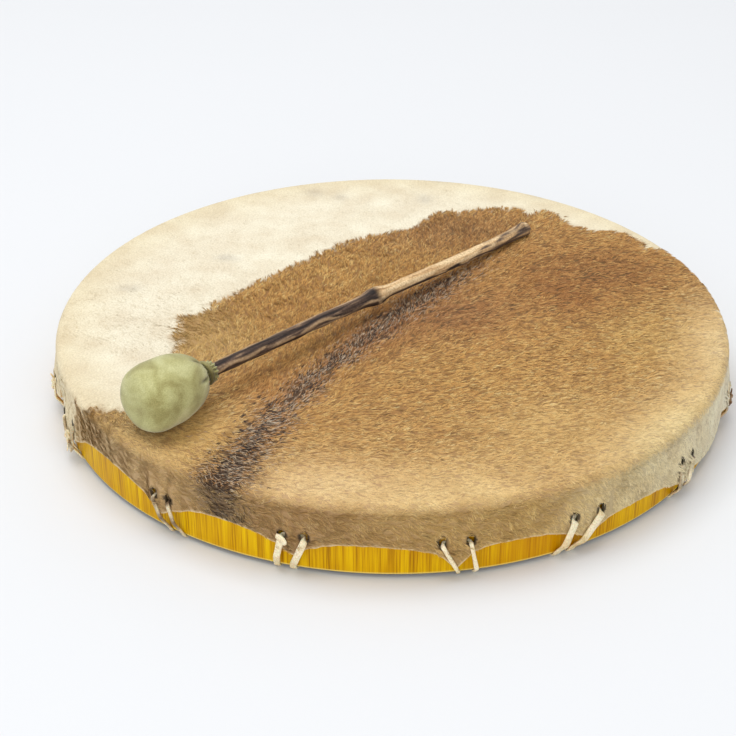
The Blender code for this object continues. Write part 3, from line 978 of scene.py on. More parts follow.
    def brown_outline(self) -> Array:
        """Return the brown coat's outline on the unrolled hide."""
        points = list(self.border)
        skirt = np.linspace(self.border_end, self.border_start, 40)
        marks = [(self.skirt_reach, degrees) for degrees in skirt]
        for reach, degrees in [*marks, (self.border_start_reach, self.border_start)]:
            angle = math.radians(degrees)
            points.append((reach * math.cos(angle), reach * math.sin(angle)))
        return np.array([*points, self.border_corner])

    def depth(self, plan: Array) -> Array:
        """Return how far each place lies inside the brown coat, less than 0 on the ivory."""
        outline = self.brown_outline()
        line = np.concatenate((outline[-3:], outline[:len(self.border) + 1]))
        gap, _ = distance_along(plan, line)
        signed = np.where(inside(plan, outline), gap, -gap)
        jag = 0.0020 * ripple(plan, 0.012, 11) + 0.0018 * ripple(plan, 0.0045, 12)
        return signed + jag

    def stripe_weight(self, plan: Array) -> Array:
        """Return the share of dark and grey hairs at each place."""
        gap, share = distance_along(plan, np.array(self.stripe))
        # Near its upper end the stripe runs just below the stick, and there its dark also paints the stick's
        # shadow.
        half = 0.0115 + 0.0085 * smooth(share, 0.45, 0.95) + 0.003 * ripple(plan, 0.03, 21)
        strength = 0.84 + 0.16 * smooth(share, 0.6, 0.88)
        fade = smooth(share, 0.0, 0.20)
        return np.exp(-((gap / half) ** 2)) * strength * fade

    def side_colour(self, plan: Array) -> Array:
        """Return the colour of the coat on the hide's side, from its angle."""
        angle = np.degrees(np.arctan2(plan[:, 1], plan[:, 0]))
        marks = [mark for mark, _ in self.side_tints]
        tints = np.array([tint.light() for _, tint in self.side_tints])
        return np.stack([np.interp(angle, marks, tints[:, channel]) for channel in range(3)], axis=1)

    def colours(self, plan: Array, coat: Coat) -> Array:
        """Return the coat's colour at each place of the unrolled hide.

        Args:
            plan: Places on the unrolled hide.
            coat: The part of the coat that they belong to.

        Returns:
            Linear colours, one row each.
        """
        radius = np.linalg.norm(plan, axis=1)
        base, patches = (self.ivory, self.smudges) if coat is Coat.IVORY else (self.brown, self.patches)
        colour = np.tile(base.light(), (len(plan), 1))
        if coat is Coat.IVORY:
            edge = smooth(radius, *self.ivory_edge_reach)[:, None] * 0.8
            colour = blended(colour, self.ivory_edge.light(), edge)
        for patch in patches:
            colour = blended(colour, patch.tint.light(), patch.weight(plan)[:, None])
        if coat is Coat.BROWN:
            wash = 0.85 * self.stripe_weight(plan)[:, None]
            colour = blended(colour, self.stripe_wash.light(), wash)
            side = smooth(radius, *self.side_reach)[:, None]
            colour = blended(colour, self.side_colour(plan), side)
        return colour


def toned(colour: Array, gain: Array) -> Array:
    """Return colours darkened by gains below 1, and lightened by those above it but not past white."""
    return gain * colour / (1 + np.maximum(gain - 1, 0.0) * colour)


@dataclass(frozen=True)
class Guide:
    """A place on the hide and the heading of its hair's tips there, in degrees from +X."""

    x: float
    y: float
    heading: float


@dataclass(frozen=True)
class HairStyle:
    """How the hair of one part of the coat grows, in locks whose hairs lean together.

    Hairs shade each other, so each is lighter than the coat looks, by its gain. Pale hair
    lies flatter and is more even, by the calm.
    """

    length: Pair
    width: Pair
    height: Pair
    per_lock: int
    lock_half: float
    gather: float
    stray: float
    lock_tone: float
    hair_tone: float
    # The steps scale a hair's colour at its root, middle and tip; a darker root is painted shade deep in the
    # coat.
    steps: Triple
    gain: Triple
    calm: float

    def lifted(self, colour: Array) -> Array:
        """Return a coat's colour as lightened for its hairs, and never past white."""
        return toned(colour, np.array(self.gain))


HAIR_STYLES = {
    Coat.BROWN: HairStyle(
        length=(0.0032, 0.0062), width=(0.00030, 0.00048), height=(0.0002, 0.0012), per_lock=4,
        lock_half=0.0006, gather=0.5, stray=0.30, lock_tone=0.38, hair_tone=0.28, steps=(0.50, 1.0, 1.35),
        gain=(2.75, 1.66, 1.14), calm=0.72,
    ),
    Coat.IVORY: HairStyle(
        length=(0.0030, 0.0050), width=(0.00024, 0.00034), height=(0.00002, 0.00010), per_lock=2,
        lock_half=0.0006, gather=0.3, stray=0.30, lock_tone=0.015, hair_tone=0.015, steps=(1.0, 1.0, 1.0),
        gain=(1.5, 1.3, 1.1), calm=0.0,
    ),
}

# For each step along a blade: its share of the length, width and height, and how far it is sunk
BLADE_STEPS = ((0.0, 1.0, 0.0, 0.0001), (0.5, 0.85, 0.75, 0.0), (1.0, 0.0, 1.0, 0.0))


@dataclass
class Locks:
    """Locks of hair: where they grow, their bearing, length and height, and their colour.

    The calm is how freely each one's tone varies, the dark is the share of dark hairs
    there, and a dark lock has dark hairs alone.
    """

    reach: Array
    angle: Array
    bearing: Array
    length: Array
    height: Array
    calm: Array
    colour: Array
    dark: Array
    dark_lock: Array


@dataclass
class Hairs:
    """Single hairs: the lock of each, its root, the radius there, its length and its bearing."""

    lock: Array
    reach: Array
    angle: Array
    around: Array
    length: Array
    bearing: Array


@dataclass
class HairGrowth:
    """The hair of one part of the coat as it grows, with its own source of chance."""

    body: DrumBody
    shape: HideShape
    pattern: CoatPattern
    coat: Coat
    seed: int
    far_reach: float = 0.295
    swirl: float = 0.35
    droop: float = 0.22
    droop_reach: Pair = (0.254, 0.266)
    hair_bend: float = 0.18
    dark_locks: float = 0.15
    charcoal_hairs: float = 0.50
    grey_hairs: float = 0.36
    border_depth: float = 0.0030
    border_hairs: float = 0.7
    border_shade: Pair = (0.35, 0.72)
    pad_spot: Pair = (-0.151, -0.152)
    pad_clearing: Pair = (0.008, 0.022)
    guides: tuple[Guide, ...] = (
        Guide(-0.100, 0.020, 98.0), Guide(-0.020, 0.090, 94.0), Guide(0.060, 0.150, 96.0),
        Guide(-0.155, -0.020, 150.0), Guide(0.000, 0.030, 90.0), Guide(-0.060, -0.040, 84.0),
        Guide(-0.090, -0.090, 75.0), Guide(0.060, 0.000, 12.0), Guide(0.120, -0.050, 0.0),
        Guide(0.190, 0.050, -8.0), Guide(0.150, 0.120, 5.0), Guide(0.105, 0.165, 70.0),
        Guide(0.190, 0.128, 8.0), Guide(0.020, -0.100, 4.0), Guide(-0.030, -0.200, -8.0),
        Guide(0.100, -0.180, 2.0), Guide(0.210, -0.090, 8.0), Guide(0.235, 0.000, 4.0),
        Guide(-0.130, -0.130, 30.0), Guide(-0.170, -0.175, -48.0), Guide(-0.130, -0.205, -42.0),
        Guide(-0.205, -0.140, -80.0), Guide(-0.100, -0.240, -30.0),
    )
    style: HairStyle = field(init=False)
    rng: np.random.Generator = field(init=False)

    def __post_init__(self) -> None:
        """Take the coat's way of growing, and start its chance from the seed."""
        self.style = HAIR_STYLES[self.coat]
        self.rng = np.random.default_rng(self.seed)

    def headings(self, plan: Array) -> Array:
        """Return the heading of the hair at each place, from the nearby guides."""
        east = np.zeros(len(plan))
        north = np.zeros(len(plan))
        for guide in self.guides:
            gap = np.linalg.norm(plan - np.array((guide.x, guide.y)), axis=1)
            weight = 1.0 / (gap + 0.012) ** 3
            east += weight * math.cos(math.radians(guide.heading))
            north += weight * math.sin(math.radians(guide.heading))
        return np.arctan2(north, east)

    def roots(self, count: int) -> tuple[Array, Array]:
        """Choose where locks grow, evenly over the coat.

        Args:
            count: How many locks are wanted.

        Returns:
            The reach and the angle of each lock.
        """
        shape = self.shape
        flat_area = shape.head**2 / 2
        area = flat_area + (self.far_reach - shape.head) * self.body.side
        draw = self.rng.uniform(0.0, area, count * 4)
        reach = np.where(draw < flat_area, np.sqrt(2 * np.minimum(draw, flat_area)),
                         shape.head + (draw - flat_area) / self.body.side)
        angle = self.rng.uniform(0.0, math.tau, count * 4)
        depth = self.pattern.depth(in_plan(reach, angle))
        kept = depth > 0.0 if self.coat is Coat.BROWN else depth < 0.001
        kept &= reach < shape.hem_reach(angle)
        return reach[kept][:count], angle[kept][:count]

    def mesh(self, name: str, count: int) -> bpy.types.Mesh:
        """Grow hairs as tapered blades that follow the hide, in locks.

        Args:
            name: The mesh's name.
            count: How many hairs to grow.

        Returns:
            The mesh, with its colours stored as coat.
        """
        locks = self.locks(count // self.style.per_lock)
        hairs = self.hairs(locks)
        points = self.blade_points(locks, hairs)
        return self.blades(name, points, self.blade_colours(locks, hairs))

    def locks(self, count: int) -> Locks:
        """Let locks grow over the coat.

        Args:
            count: How many locks are wanted.

        Returns:
            The locks.
        """
        style, rng = self.style, self.rng
        reach, angle = self.roots(count)
        plan = in_plan(reach, angle)
        number = len(plan)
        heading = self.headings(plan) + rng.normal(0.0, style.stray, number)
        turn = heading + self.swirl * ripple(plan, 0.020, 31) - angle
        droop = self.droop * smooth(reach, *self.droop_reach)
        bearing = np.arctan2(np.sin(turn) * (1 - droop), np.cos(turn) * (1 - droop) + droop)
        length = rng.uniform(*style.length, number)
        height = rng.uniform(*style.height, number)
        shown = self.pattern.colours(plan, self.coat)
        calm = 1 - style.calm * smooth(shown @ np.array((0.3, 0.6, 0.1)), 0.30, 0.55)
        tone = np.exp(rng.normal(0.0, style.lock_tone, number) * calm)[:, None]
        colour = toned(style.lifted(shown), tone)
        dark = self.pattern.stripe_weight(plan) if self.coat is Coat.BROWN else np.zeros(number)
        dark_lock = rng.uniform(size=number) < self.dark_locks * dark
        return Locks(reach, angle, bearing, length, height * calm, calm, colour, dark, dark_lock)

    def hairs(self, locks: Locks) -> Hairs:
        """Spread locks into hairs that end at the hem, clear of the slits and the bare laces.

        Args:
            locks: The locks.

        Returns:
            The hairs.
        """
        shape, style, rng = self.shape, self.style, self.rng
        lock = np.repeat(np.arange(len(locks.reach)), style.per_lock)
        number = len(lock)
        around = np.minimum(locks.reach, self.body.side)[lock] + 1e-6
        aside = rng.normal(0.0, style.lock_half, number)
        ahead = rng.uniform(-0.4, 0.4, number) * locks.length[lock]
        sine, cosine = np.sin(locks.bearing)[lock], np.cos(locks.bearing)[lock]
        reach = np.abs(locks.reach[lock] + ahead * cosine - aside * sine)
        angle = locks.angle[lock] + (ahead * sine + aside * cosine) / around
        length = locks.length[lock] * rng.uniform(0.8, 1.15, number)
        bearing = locks.bearing[lock] - style.gather * aside / length + rng.normal(0.0, 0.08, number)
        tip_reach = reach + length * np.cos(bearing)
        tip_angle = angle + length * np.sin(bearing) / around
        room = shape.hem_reach(tip_angle) - reach
        fitted = length * np.clip(room / np.maximum(tip_reach - reach, 1e-6), 0.1, 1.0)
        length = np.where(tip_reach - reach > room, fitted, length)
        kept = (room > 0.0008) & ~shape.in_slit(reach, angle, 0.0008) & ~shape.in_slit(tip_reach, tip_angle)
        kept &= ~shape.bare(reach, angle) & ~shape.bare(tip_reach, tip_angle)
        if self.coat is Coat.BROWN:
            kept &= self.pattern.depth(in_plan(reach, angle)) > -0.0004
        return Hairs(*(values[kept] for values in (lock, reach, angle, around, length, bearing)))

    def blade_points(self, locks: Locks, hairs: Hairs) -> Array:
        """Shape each hair as a blade: two corners at its root, two halfway along and its tip.

        Args:
            locks: The locks.
            hairs: Their hairs.

        Returns:
            Places as hairs, corners and coordinates.
        """
        rng, number = self.rng, len(hairs.lock)
        width = rng.uniform(*self.style.width, number)
        lift = locks.height[hairs.lock] * rng.uniform(0.7, 1.2, number)
        lift *= self.clearing(hairs.reach, hairs.angle)
        bend = rng.normal(0.0, self.hair_bend, number)
        corners = []
        for share, wide, rise, sunk in BLADE_STEPS:
            way = hairs.bearing + bend * share
            reach = hairs.reach + hairs.length * share * np.cos(way)
            angle = hairs.angle + hairs.length * share * np.sin(way) / hairs.around
            over_lace = self.shape.over_lace(reach, angle)
            for hand in (-1.0, 1.0) if wide else (0.0,):
                half = hand * width * wide / 2
                height = lift * rise + over_lace + hand * width * 0.2 - sunk
                beside = angle + half * np.cos(way) / hairs.around
                corners.append(self.shape.place(np.abs(reach - half * np.sin(way)), beside, height))
        return np.stack(corners, axis=1)

    def blade_colours(self, locks: Locks, hairs: Hairs) -> Array:
        """Colour each hair from root to tip, with the stripe's dark and grey hairs among them.

        Args:
            locks: The locks.
            hairs: Their hairs.

        Returns:
            Linear colours as hairs, corners and channels.
        """
        style, rng, number = self.style, self.rng, len(hairs.lock)
        calm, dark = locks.calm[hairs.lock], locks.dark[hairs.lock]
        tone = np.exp(rng.normal(0.0, style.hair_tone, number) * calm)[:, None]
        draw = rng.uniform(size=number)
        charcoal = locks.dark_lock[hairs.lock] | (draw < self.charcoal_hairs * dark**2)
        grey = ~charcoal & (draw > 1 - self.grey_hairs * dark)
        base = np.where(charcoal[:, None], self.pattern.stripe_dark.light() * 1.3, locks.colour[hairs.lock])
        base = toned(np.where(grey[:, None], self.pattern.stripe_grey.light(), base), tone)
        # Painted shade: the root's step darkens each hair at its root; the tip's step lightens it.
        root, middle, tip = (toned(base, 1 + (step - 1) * calm[:, None]) for step in style.steps)
        colours = np.stack((root, root, middle, middle, tip), axis=1)
        if self.coat is Coat.BROWN:
            depth = self.pattern.depth(in_plan(hairs.reach, hairs.angle))
            shaded = rng.uniform(size=number) < self.border_hairs
            edge = (smooth(depth, self.border_depth, 0.0) * shaded)[:, None, None]
            colours[:, 2:4] *= 1 - self.border_shade[0] * edge
            colours[:, 4:] *= 1 - self.border_shade[1] * edge
        return np.clip(colours, 0.0, 0.95)

    def clearing(self, reach: Array, angle: Array) -> Array:
        """Return how much of its height hair keeps: all away from the pad, and a fifth under it."""
        gap = np.linalg.norm(in_plan(reach, angle) - np.array(self.pad_spot), axis=1)
        return 0.2 + 0.8 * smooth(gap, *self.pad_clearing)

    def blades(self, name: str, points: Array, colours: Array) -> bpy.types.Mesh:
        """Return a mesh of blades, each a quad and a triangle over five vertices."""
        number = len(points)
        first = np.arange(number) * 5
        quads = first[:, None] + np.array((0, 1, 3, 2))
        tips = first[:, None] + np.array((2, 3, 4))
        loops = np.concatenate((quads.ravel(), tips.ravel()))
        starts = np.concatenate((np.arange(number) * 4, number * 4 + np.arange(number) * 3))
        mesh = bpy.data.meshes.new(name)
        mesh.vertices.add(number * 5)
        mesh.vertices.foreach_set("co", points.astype(np.float32).ravel())
        mesh.loops.add(len(loops))
        mesh.loops.foreach_set("vertex_index", loops.astype(np.int32))
        mesh.polygons.add(number * 2)
        mesh.polygons.foreach_set("loop_start", starts.astype(np.int32))
        mesh.update(calc_edges=True)
        set_values(mesh, "coat", with_alpha(colours.reshape(-1, 3)))
        mesh.shade_smooth()
        return mesh


@dataclass
class Hide:
    """The hide on the hoop: its skin with slits and a cut hem, and the hair of its coat."""

    body: DrumBody
    shape: HideShape
    pattern: CoatPattern = CoatPattern()
    head_rows: int = 30
    bend_rows: int = 6
    side_rows: int = 20
    brown_pieces: int = 4
    piece_hairs: int = 50000
    ivory_hairs: int = 30000
    hem_edge: Tint = Tint(232, 212, 172)

    def build(self) -> None:
        """Make the skin and its hair."""
        skin_finish = HideCoat("hair_on_rawhide", 0.72, 700.0, 0.0002).make()
        hair_finish = HideCoat("hair_coat", 0.55, 1600.0, 0.0001).make()
        add_piece("hide", self.skin_mesh(), skin_finish, ("skin",))
        pieces = [(f"brown_hair_{number}", Coat.BROWN, self.piece_hairs, 99 + number)
                  for number in range(1, self.brown_pieces + 1)]
        for name, coat, count, seed in [*pieces, ("ivory_hair", Coat.IVORY, self.ivory_hairs, 200)]:
            growth = HairGrowth(self.body, self.shape, self.pattern, coat, seed)
            add_piece(name, growth.mesh(name, count), hair_finish)

    def column_angles(self) -> Array:
        """Return the skin's column angles, close together at the slits."""
        angles = list(np.linspace(0.0, math.tau, 300, endpoint=False))
        near_slits = np.arange(-0.018, 0.0181, 0.0011) / self.body.radius
        for lacing in self.body.lacings():
            angles.extend((math.radians(lacing.angle) + near_slits) % math.tau)
        angles = np.sort(np.array(angles))
        keep = np.diff(angles, prepend=angles[-1] - math.tau) > 0.0006 / self.body.radius
        return angles[keep]

    def skin_mesh(self) -> bpy.types.Mesh:
        """Return the skin as a closed shell with its slits cut out."""
        angles = self.column_angles()
        shape = self.shape
        flat = shape.head * np.linspace(1 / self.head_rows, 1.0, self.head_rows)
        bend = shape.head + shape.bend * np.linspace(0.0, 1.0, self.bend_rows + 1)[1:]
        even = np.concatenate((flat, bend))
        down = np.linspace(0.0, 1.0, self.side_rows + 1)[1:]
        hem = shape.hem_reach(angles)
        start = shape.head + shape.bend
        reach = np.concatenate((np.repeat(even[:, None], len(angles), axis=1),
                                start + down[:, None] * (hem - start)[None, :]))
        rows, columns = reach.shape
        turn = np.repeat(angles[None, :], rows, axis=0)
        outer = shape.place(reach.ravel(), turn.ravel())
        middle = np.array(((0.0, 0.0, self.body.top),))
        points = np.concatenate((outer, middle))
        index = np.arange(rows * columns).reshape(rows, columns)
        beside = np.roll(index, -1, axis=1)
        quads = np.stack((index[:-1], index[1:], beside[1:], beside[:-1]), axis=-1).reshape(-1, 4)
        centre_reach = reach.ravel()[quads].mean(axis=1)
        around = turn.ravel()[quads]
        around = np.where(around < around[:, :1] - math.pi, around + math.tau, around)
        quads = quads[~shape.in_slit(centre_reach, around.mean(axis=1))]
        fan = [(rows * columns, first, second) for first, second in zip(index[0], beside[0])]
        mesh = bpy.data.meshes.new("hide")
        mesh.from_pydata(points.tolist(), [], quads.tolist() + [tuple(map(int, face)) for face in fan])
        flat_reach = np.concatenate((reach.ravel(), (0.0,)))
        flat_turn = np.concatenate((turn.ravel(), (0.0,)))
        set_values(mesh, "coat", self.skin_colours(flat_reach, flat_turn))
        return self.thicken(mesh)

    def skin_colours(self, reach: Array, angle: Array) -> Array:
        """Return the skin's colour at each vertex, with painted shade under the brown hair and at the slits.
        """
        plan = in_plan(reach, angle)
        brown = smooth(self.pattern.depth(plan), -0.001, 0.002)[:, None]
        ivory = self.pattern.colours(plan, Coat.IVORY)
        # Painted shade: under the brown hair the skin has the coat's colour, darkened by a quarter.
        under = self.pattern.colours(plan, Coat.BROWN) * 0.75
        dark = self.pattern.stripe_weight(plan)[:, None] * 0.7
        under = blended(under, self.pattern.stripe_dark.light(), dark)
        colour = blended(ivory, under, brown)
        # Painted shade: the skin in and around the slits is darkened, for the shade in the holes.
        slit = self.shape.in_slit(reach, angle, 0.0012)[:, None]
        colour = np.where(slit, colour * 0.15, colour)
        edge = smooth(self.shape.hem_reach(angle) - reach, 0.0016, 0.0006) * (reach > 0.26)
        return with_alpha(blended(colour, self.hem_edge.light(), edge[:, None]))

    def thicken(self, mesh: bpy.types.Mesh) -> bpy.types.Mesh:
        """Return a mesh made solid, inwards by the hide's thickness."""
        holder = bpy.data.objects.new("hide_maker", mesh)
        bpy.context.scene.collection.objects.link(holder)
        solidify = holder.modifiers.new("thickness", "SOLIDIFY")
        solidify.thickness = self.body.hide_thick - 0.0002
        solidify.offset = -1.0
        bpy.context.view_layer.update()
        graph = bpy.context.evaluated_depsgraph_get()
        solid = bpy.data.meshes.new_from_object(holder.evaluated_get(graph))
        bpy.data.objects.remove(holder)
        solid.shade_smooth()
        solid.set_sharp_from_angle(angle=math.radians(60))
        return solid


@dataclass
class Hoop:
    """The bent wooden hoop, with a round shoulder and softened foot."""

    body: DrumBody
    top_round: float = 0.004
    steps: int = 288

    def profile(self) -> Array:
        """Return the hoop's section as (radius, height) points."""
        outer = self.body.radius
        inner = outer - self.body.wall
        crown, foot = self.body.crown, self.body.foot
        large, small = self.top_round, self.body.foot_round
        corners = (
            (outer - large, crown - large, large, 90, 0),
            (outer - small, foot + small, small, 0, -90),
            (inner + small, foot + small, small, 270, 180),
            (inner + small, crown - small, small, 180, 90),
        )
        points = []
        for centre, height, size, start, end in corners:
            for degrees in np.linspace(start, end, 9):
                angle = math.radians(degrees)
                points.append((centre + size * math.cos(angle), height + size * math.sin(angle)))
        return np.array(points)

    def build(self) -> None:
        """Turn the hoop and varnish it."""
        points = turned_profile(self.profile(), self.steps)
        mesh = tube_mesh("hoop_wood", (points, True))
        height = points[..., 2].ravel()
        outside = np.linalg.norm(points[..., :2], axis=-1).ravel() > self.body.radius - self.body.wall / 2
        up = height - self.body.foot
        set_values(mesh, "edge", smooth(up, 0.0024, 0.0019) * outside * 0.7)
        # Painted shade: the lowest millimetre of the hoop is painted dark.
        set_values(mesh, "painted_foot_shade", smooth(up, 0.0009, 0.0003) * 0.9)
        add_piece("hoop_wood", mesh, VarnishedHoop().make(), ("hoop",))


@dataclass(frozen=True)
class Knot:
    """An overhand knot in a lace, on the hide: where it sits, its size and its tail.

    Its place is an angle, a distance across from it and a height above the hoop's foot.
    The tail leaves it at a turn in degrees, upwards from the anticlockwise side.
    """

    name: str
    angle: float
    across: float
    height: float
    size: float
    stain: float
    tail_turn: float
    tail_length: float


@dataclass(frozen=True)
class LaceEnd:
    """The cut end of a lace that lies on the hide, from a place and along a turn in degrees."""

    name: str
    angle: float
    across: float
    height: float
    length: float
    turn: float
    stain: float


@dataclass
class Lacework:
    """The rawhide laces, from the grip ring under the hoop's foot and out through the slits."""

    body: DrumBody
    shape: HideShape
    ring_radius: float = 0.034
    ring_thick: float = 0.007
    ring_height: float = 0.0079
    hook_radius: float = 0.0059
    step: float = 0.0025
    knots: tuple[Knot, ...] = (
        Knot("knot_left_back", 189.5, -0.004, 0.0165, 0.0062, 0.15, 80.0, 0.008),
        Knot("knot_left", 205.0, 0.003, 0.0165, 0.0070, 0.25, -100.0, 0.012),
        Knot("knot_left_low", 207.0, 0.0, 0.0110, 0.0042, 0.6, -80.0, 0.003),
        Knot("knot_right", 346.0, 0.002, 0.0150, 0.0066, 0.95, 20.0, 0.009),
    )
    ends: tuple[LaceEnd, ...] = (
        LaceEnd("lace_end_front_left", 255.0, -0.0105, 0.0275, 0.008, -35.0, 0.1),
    )

    def build(self) -> None:
        """Make every lace and the grip ring."""
        rawhide = RawhideLace().make()
        lacings = self.body.lacings()
        pitch = 360.0 / len(lacings)
        phase = sum(lacing.angle - pitch * index for index, lacing in enumerate(lacings)) / len(lacings)
        pieces: list[tuple[bpy.types.Mesh, float, tuple[str, ...]]] = []
        for index, lacing in enumerate(lacings):
            turn = math.radians(phase + pitch * index - lacing.angle)
            left, right = (self.strand(lacing, side, turn, len(lacings)) for side in Side)
            mesh = self.strap(f"lacing_{index + 1:02d}", left[::-1] + right, lacing, index)
            pieces.append((mesh, lacing.stain, (f"lace_{index + 1:02d}",)))
        pieces.extend((self.knot_mesh(knot), knot.stain, ()) for knot in self.knots)
        pieces.extend((self.end_mesh(end), end.stain, ()) for end in self.ends)
        for mesh, stain, nodes in pieces:
            set_values(mesh, "stain", np.full(len(mesh.vertices), stain))
            add_piece(mesh.name, mesh, rawhide, nodes)
        self.ring()

    def on_hide(self, angle: float, across: float, height: float, rise: float) -> Array:
        """Return a place on the hide's side: across from an angle, up from the foot and out."""
        shape = self.shape
        reach = shape.head + shape.bend + self.body.top - self.body.shoulder - self.body.foot - height
        turned = math.radians(angle) + across / self.body.radius
        return shape.place(np.array((reach,)), np.array((turned,)), rise)[0]

    def knot_mesh(self, knot: Knot) -> bpy.types.Mesh:
        """Return an overhand knot drawn tight, with its tail."""
        thick = self.body.lace_thick * 0.62
        size = knot.size / 6.0
        path, count = [], 60
        for turn in np.linspace(0.0, math.tau, count, endpoint=False):
            across = (math.sin(turn) + 2 * math.sin(2 * turn)) * size
            up = (math.cos(turn) - 2 * math.cos(2 * turn)) * size * 1.15
            rise = thick * 1.9 - math.sin(3 * turn) * thick * 0.8
            path.append(self.on_hide(knot.angle, knot.across + across, knot.height + up, rise))
        loop = self.tube(np.array(path), np.full(count, thick), True)
        lean = math.radians(knot.tail_turn)
        tail = []
        for share in np.linspace(0.0, 1.0, 8):
            along = knot.size * 0.2 + knot.tail_length * share
            tail.append(self.on_hide(knot.angle, knot.across + along * math.cos(lean),
                                     knot.height + along * math.sin(lean), thick * (1.2 + 1.6 * share)))
        wide = np.linspace(1.2, 0.55, 8) * thick
        return tube_mesh(knot.name, loop, self.tube(np.array(tail), wide, False))

    def end_mesh(self, end: LaceEnd) -> bpy.types.Mesh:
        """Return a lace's cut end, lying on the hide with its tip a little raised."""
        lean = math.radians(end.turn)
        path = []
        for share in np.linspace(0.0, 1.0, 10):
            along = end.length * share
            bend = 0.0012 * math.sin(math.pi * share)
            path.append(self.on_hide(end.angle, end.across + along * math.cos(lean) - bend * math.sin(lean),
                                     end.height + along * math.sin(lean) + bend * math.cos(lean),
                                     0.0012 + 0.0014 * share))
        wide = np.concatenate((np.full(8, 0.0016), (0.0014, 0.0009)))
        return tube_mesh(end.name, self.tube(np.array(path), wide, False))

    def tube(self, path: Array, radius: Array, closed: bool) -> tuple[Array, bool]:
        """Return a tube's grid of places along a path over the hide's side.

        Args:
            path: The tube's middle line, one row each.
            radius: Its radius at each row.
            closed: True where it joins its own start.

        Returns:
            The grid, and whether its rows close.
        """
        if closed:
            along = np.roll(path, -1, axis=0) - np.roll(path, 1, axis=0)
        else:
            along = np.gradient(path, axis=0)
        along = unit(along)
        out = unit(path * np.array((1.0, 1.0, 0.0)))
        out = unit(out - along * np.sum(out * along, axis=1)[:, None])
        beside = np.cross(along, out)
        rings = []
        for turn in np.linspace(0.0, math.tau, 10, endpoint=False):
            spoke = beside * math.cos(turn) * 1.2 + out * math.sin(turn) * 0.7
            rings.append(path + spoke * radius[:, None])
        return np.stack(rings, axis=1), closed

    def strand(self, lacing: Lacing, side: Side, turn: float, count: int) -> list[tuple[Vector, Vector]]:
        """Return one strand's centres and wide directions, in the lacing point's own frame.

        Args:
            lacing: The lacing point.
            side: Which of its two strands.
            turn: The angle from the lacing point to its place on the grip ring.
            count: How many lacing points share the ring.

        Returns:
            Pairs of a place and the direction that the strand is wide in.
        """
        body = self.body
        thick = body.lace_thick
        slit = side.value * lacing.spread / 2
        foot = lacing.lean + side.value * body.foot_spread / 2
        slit_height = body.foot + body.slit_rise
        hem_height = body.foot + lacing.hem - thick
        near_hem = slit + (foot - slit) * (slit_height - hem_height) / (body.slit_rise - body.foot_round)
        front = body.side + thick + body.touch + thick / 2 + body.touch
        behind = body.radius + body.touch + thick / 2
        upright, sideways = Vector((0.0, 0.0, 1.0)), Vector((0.0, 1.0, 0.0))

        def out(along: float, radius: float, height: float) -> Vector:
            """Return a place by its distance along the hoop, its radius and its height."""
            angle = along / body.radius
            return Vector((radius * math.cos(angle), radius * math.sin(angle), height))

        mouth = out(slit, front, slit_height)
        hem = out(near_hem, front, hem_height)
        flat = Vector((1.0, 0.0, 0.0)).cross(hem - mouth)
        stations = [(out(slit, behind, slit_height), upright), (mouth, flat), (hem, flat)]
        bend = body.foot_round + body.touch + thick / 2
        for degrees in (0, -30, -60, -90):
            angle = math.radians(degrees)
            radius = body.radius - body.foot_round + bend * math.cos(angle)
            height = body.foot + body.foot_round + bend * math.sin(angle)
            stations.append((out(foot, radius, height), sideways))
        stations.append((out(foot, body.radius - body.wall + body.foot_round, thick / 2), sideways))
        radial = Vector((math.cos(turn), math.sin(turn), 0.0))
        across = Vector((-math.sin(turn), math.cos(turn), 0.0))
        gap = math.pi * self.ring_radius / count
        for degrees in np.linspace(80, 260, 9):
            angle = math.radians(degrees)
            place = radial * (self.ring_radius + self.hook_radius * math.cos(angle))
            place += across * side.value * gap / 2
            place.z = self.ring_height + self.hook_radius * math.sin(angle)
            stations.append((place, across))
        return stations

    def strap(self, name: str, stations: list[tuple[Vector, Vector]], lacing: Lacing,
              seed: int) -> bpy.types.Mesh:
        """Loft a rounded strap through its stations.

        Args:
            name: The mesh's name.
            stations: Places and wide directions.
            lacing: The lacing point.
            seed: What fixes its unevenness.

        Returns:
            The mesh.
        """
        places = np.array([place for place, _ in stations])
        wides = np.array([wide.normalized() for _, wide in stations])
        for index in range(1, len(wides)):
            if wides[index] @ wides[index - 1] < 0:
                wides[index] *= -1
        gaps = np.linalg.norm(np.diff(places, axis=0), axis=1)
        marks = np.concatenate(((0.0,), np.cumsum(gaps)))
        fine = np.unique(np.concatenate((np.arange(0.0, marks[-1], self.step), marks)))
        path = np.stack([np.interp(fine, marks, places[:, axis]) for axis in range(3)], axis=1)
        wide = np.stack([np.interp(fine, marks, wides[:, axis]) for axis in range(3)], axis=1)
        for _ in range(2):
            path[1:-1] = 0.5 * path[1:-1] + 0.25 * (path[:-2] + path[2:])
            wide[1:-1] = 0.5 * wide[1:-1] + 0.25 * (wide[:-2] + wide[2:])
        along = unit(np.gradient(path, axis=0))
        wide = unit(wide - along * np.sum(wide * along, axis=1)[:, None])
        thin = np.cross(along, wide)
        spots = np.stack((fine, np.full(len(fine), seed * 0.37)), axis=1)
        half_wide = self.body.lace_width / 2 * lacing.width
        half_wide = half_wide * (1.12 + 0.12 * ripple(spots, 0.02, 50 + seed))
        half_thin = self.body.lace_thick / 2 * (0.80 + 0.08 * ripple(spots, 0.03, 90 + seed))
        rings = []
        for degrees in np.linspace(0, 360, 10, endpoint=False):
            turn = math.radians(degrees)
            flat = math.copysign(abs(math.cos(turn)) ** 0.6, math.cos(turn))
            tall = math.copysign(abs(math.sin(turn)) ** 0.6, math.sin(turn))
            rings.append(path + wide * (half_wide * flat)[:, None] + thin * (half_thin * tall)[:, None])
        points = np.stack(rings, axis=1)
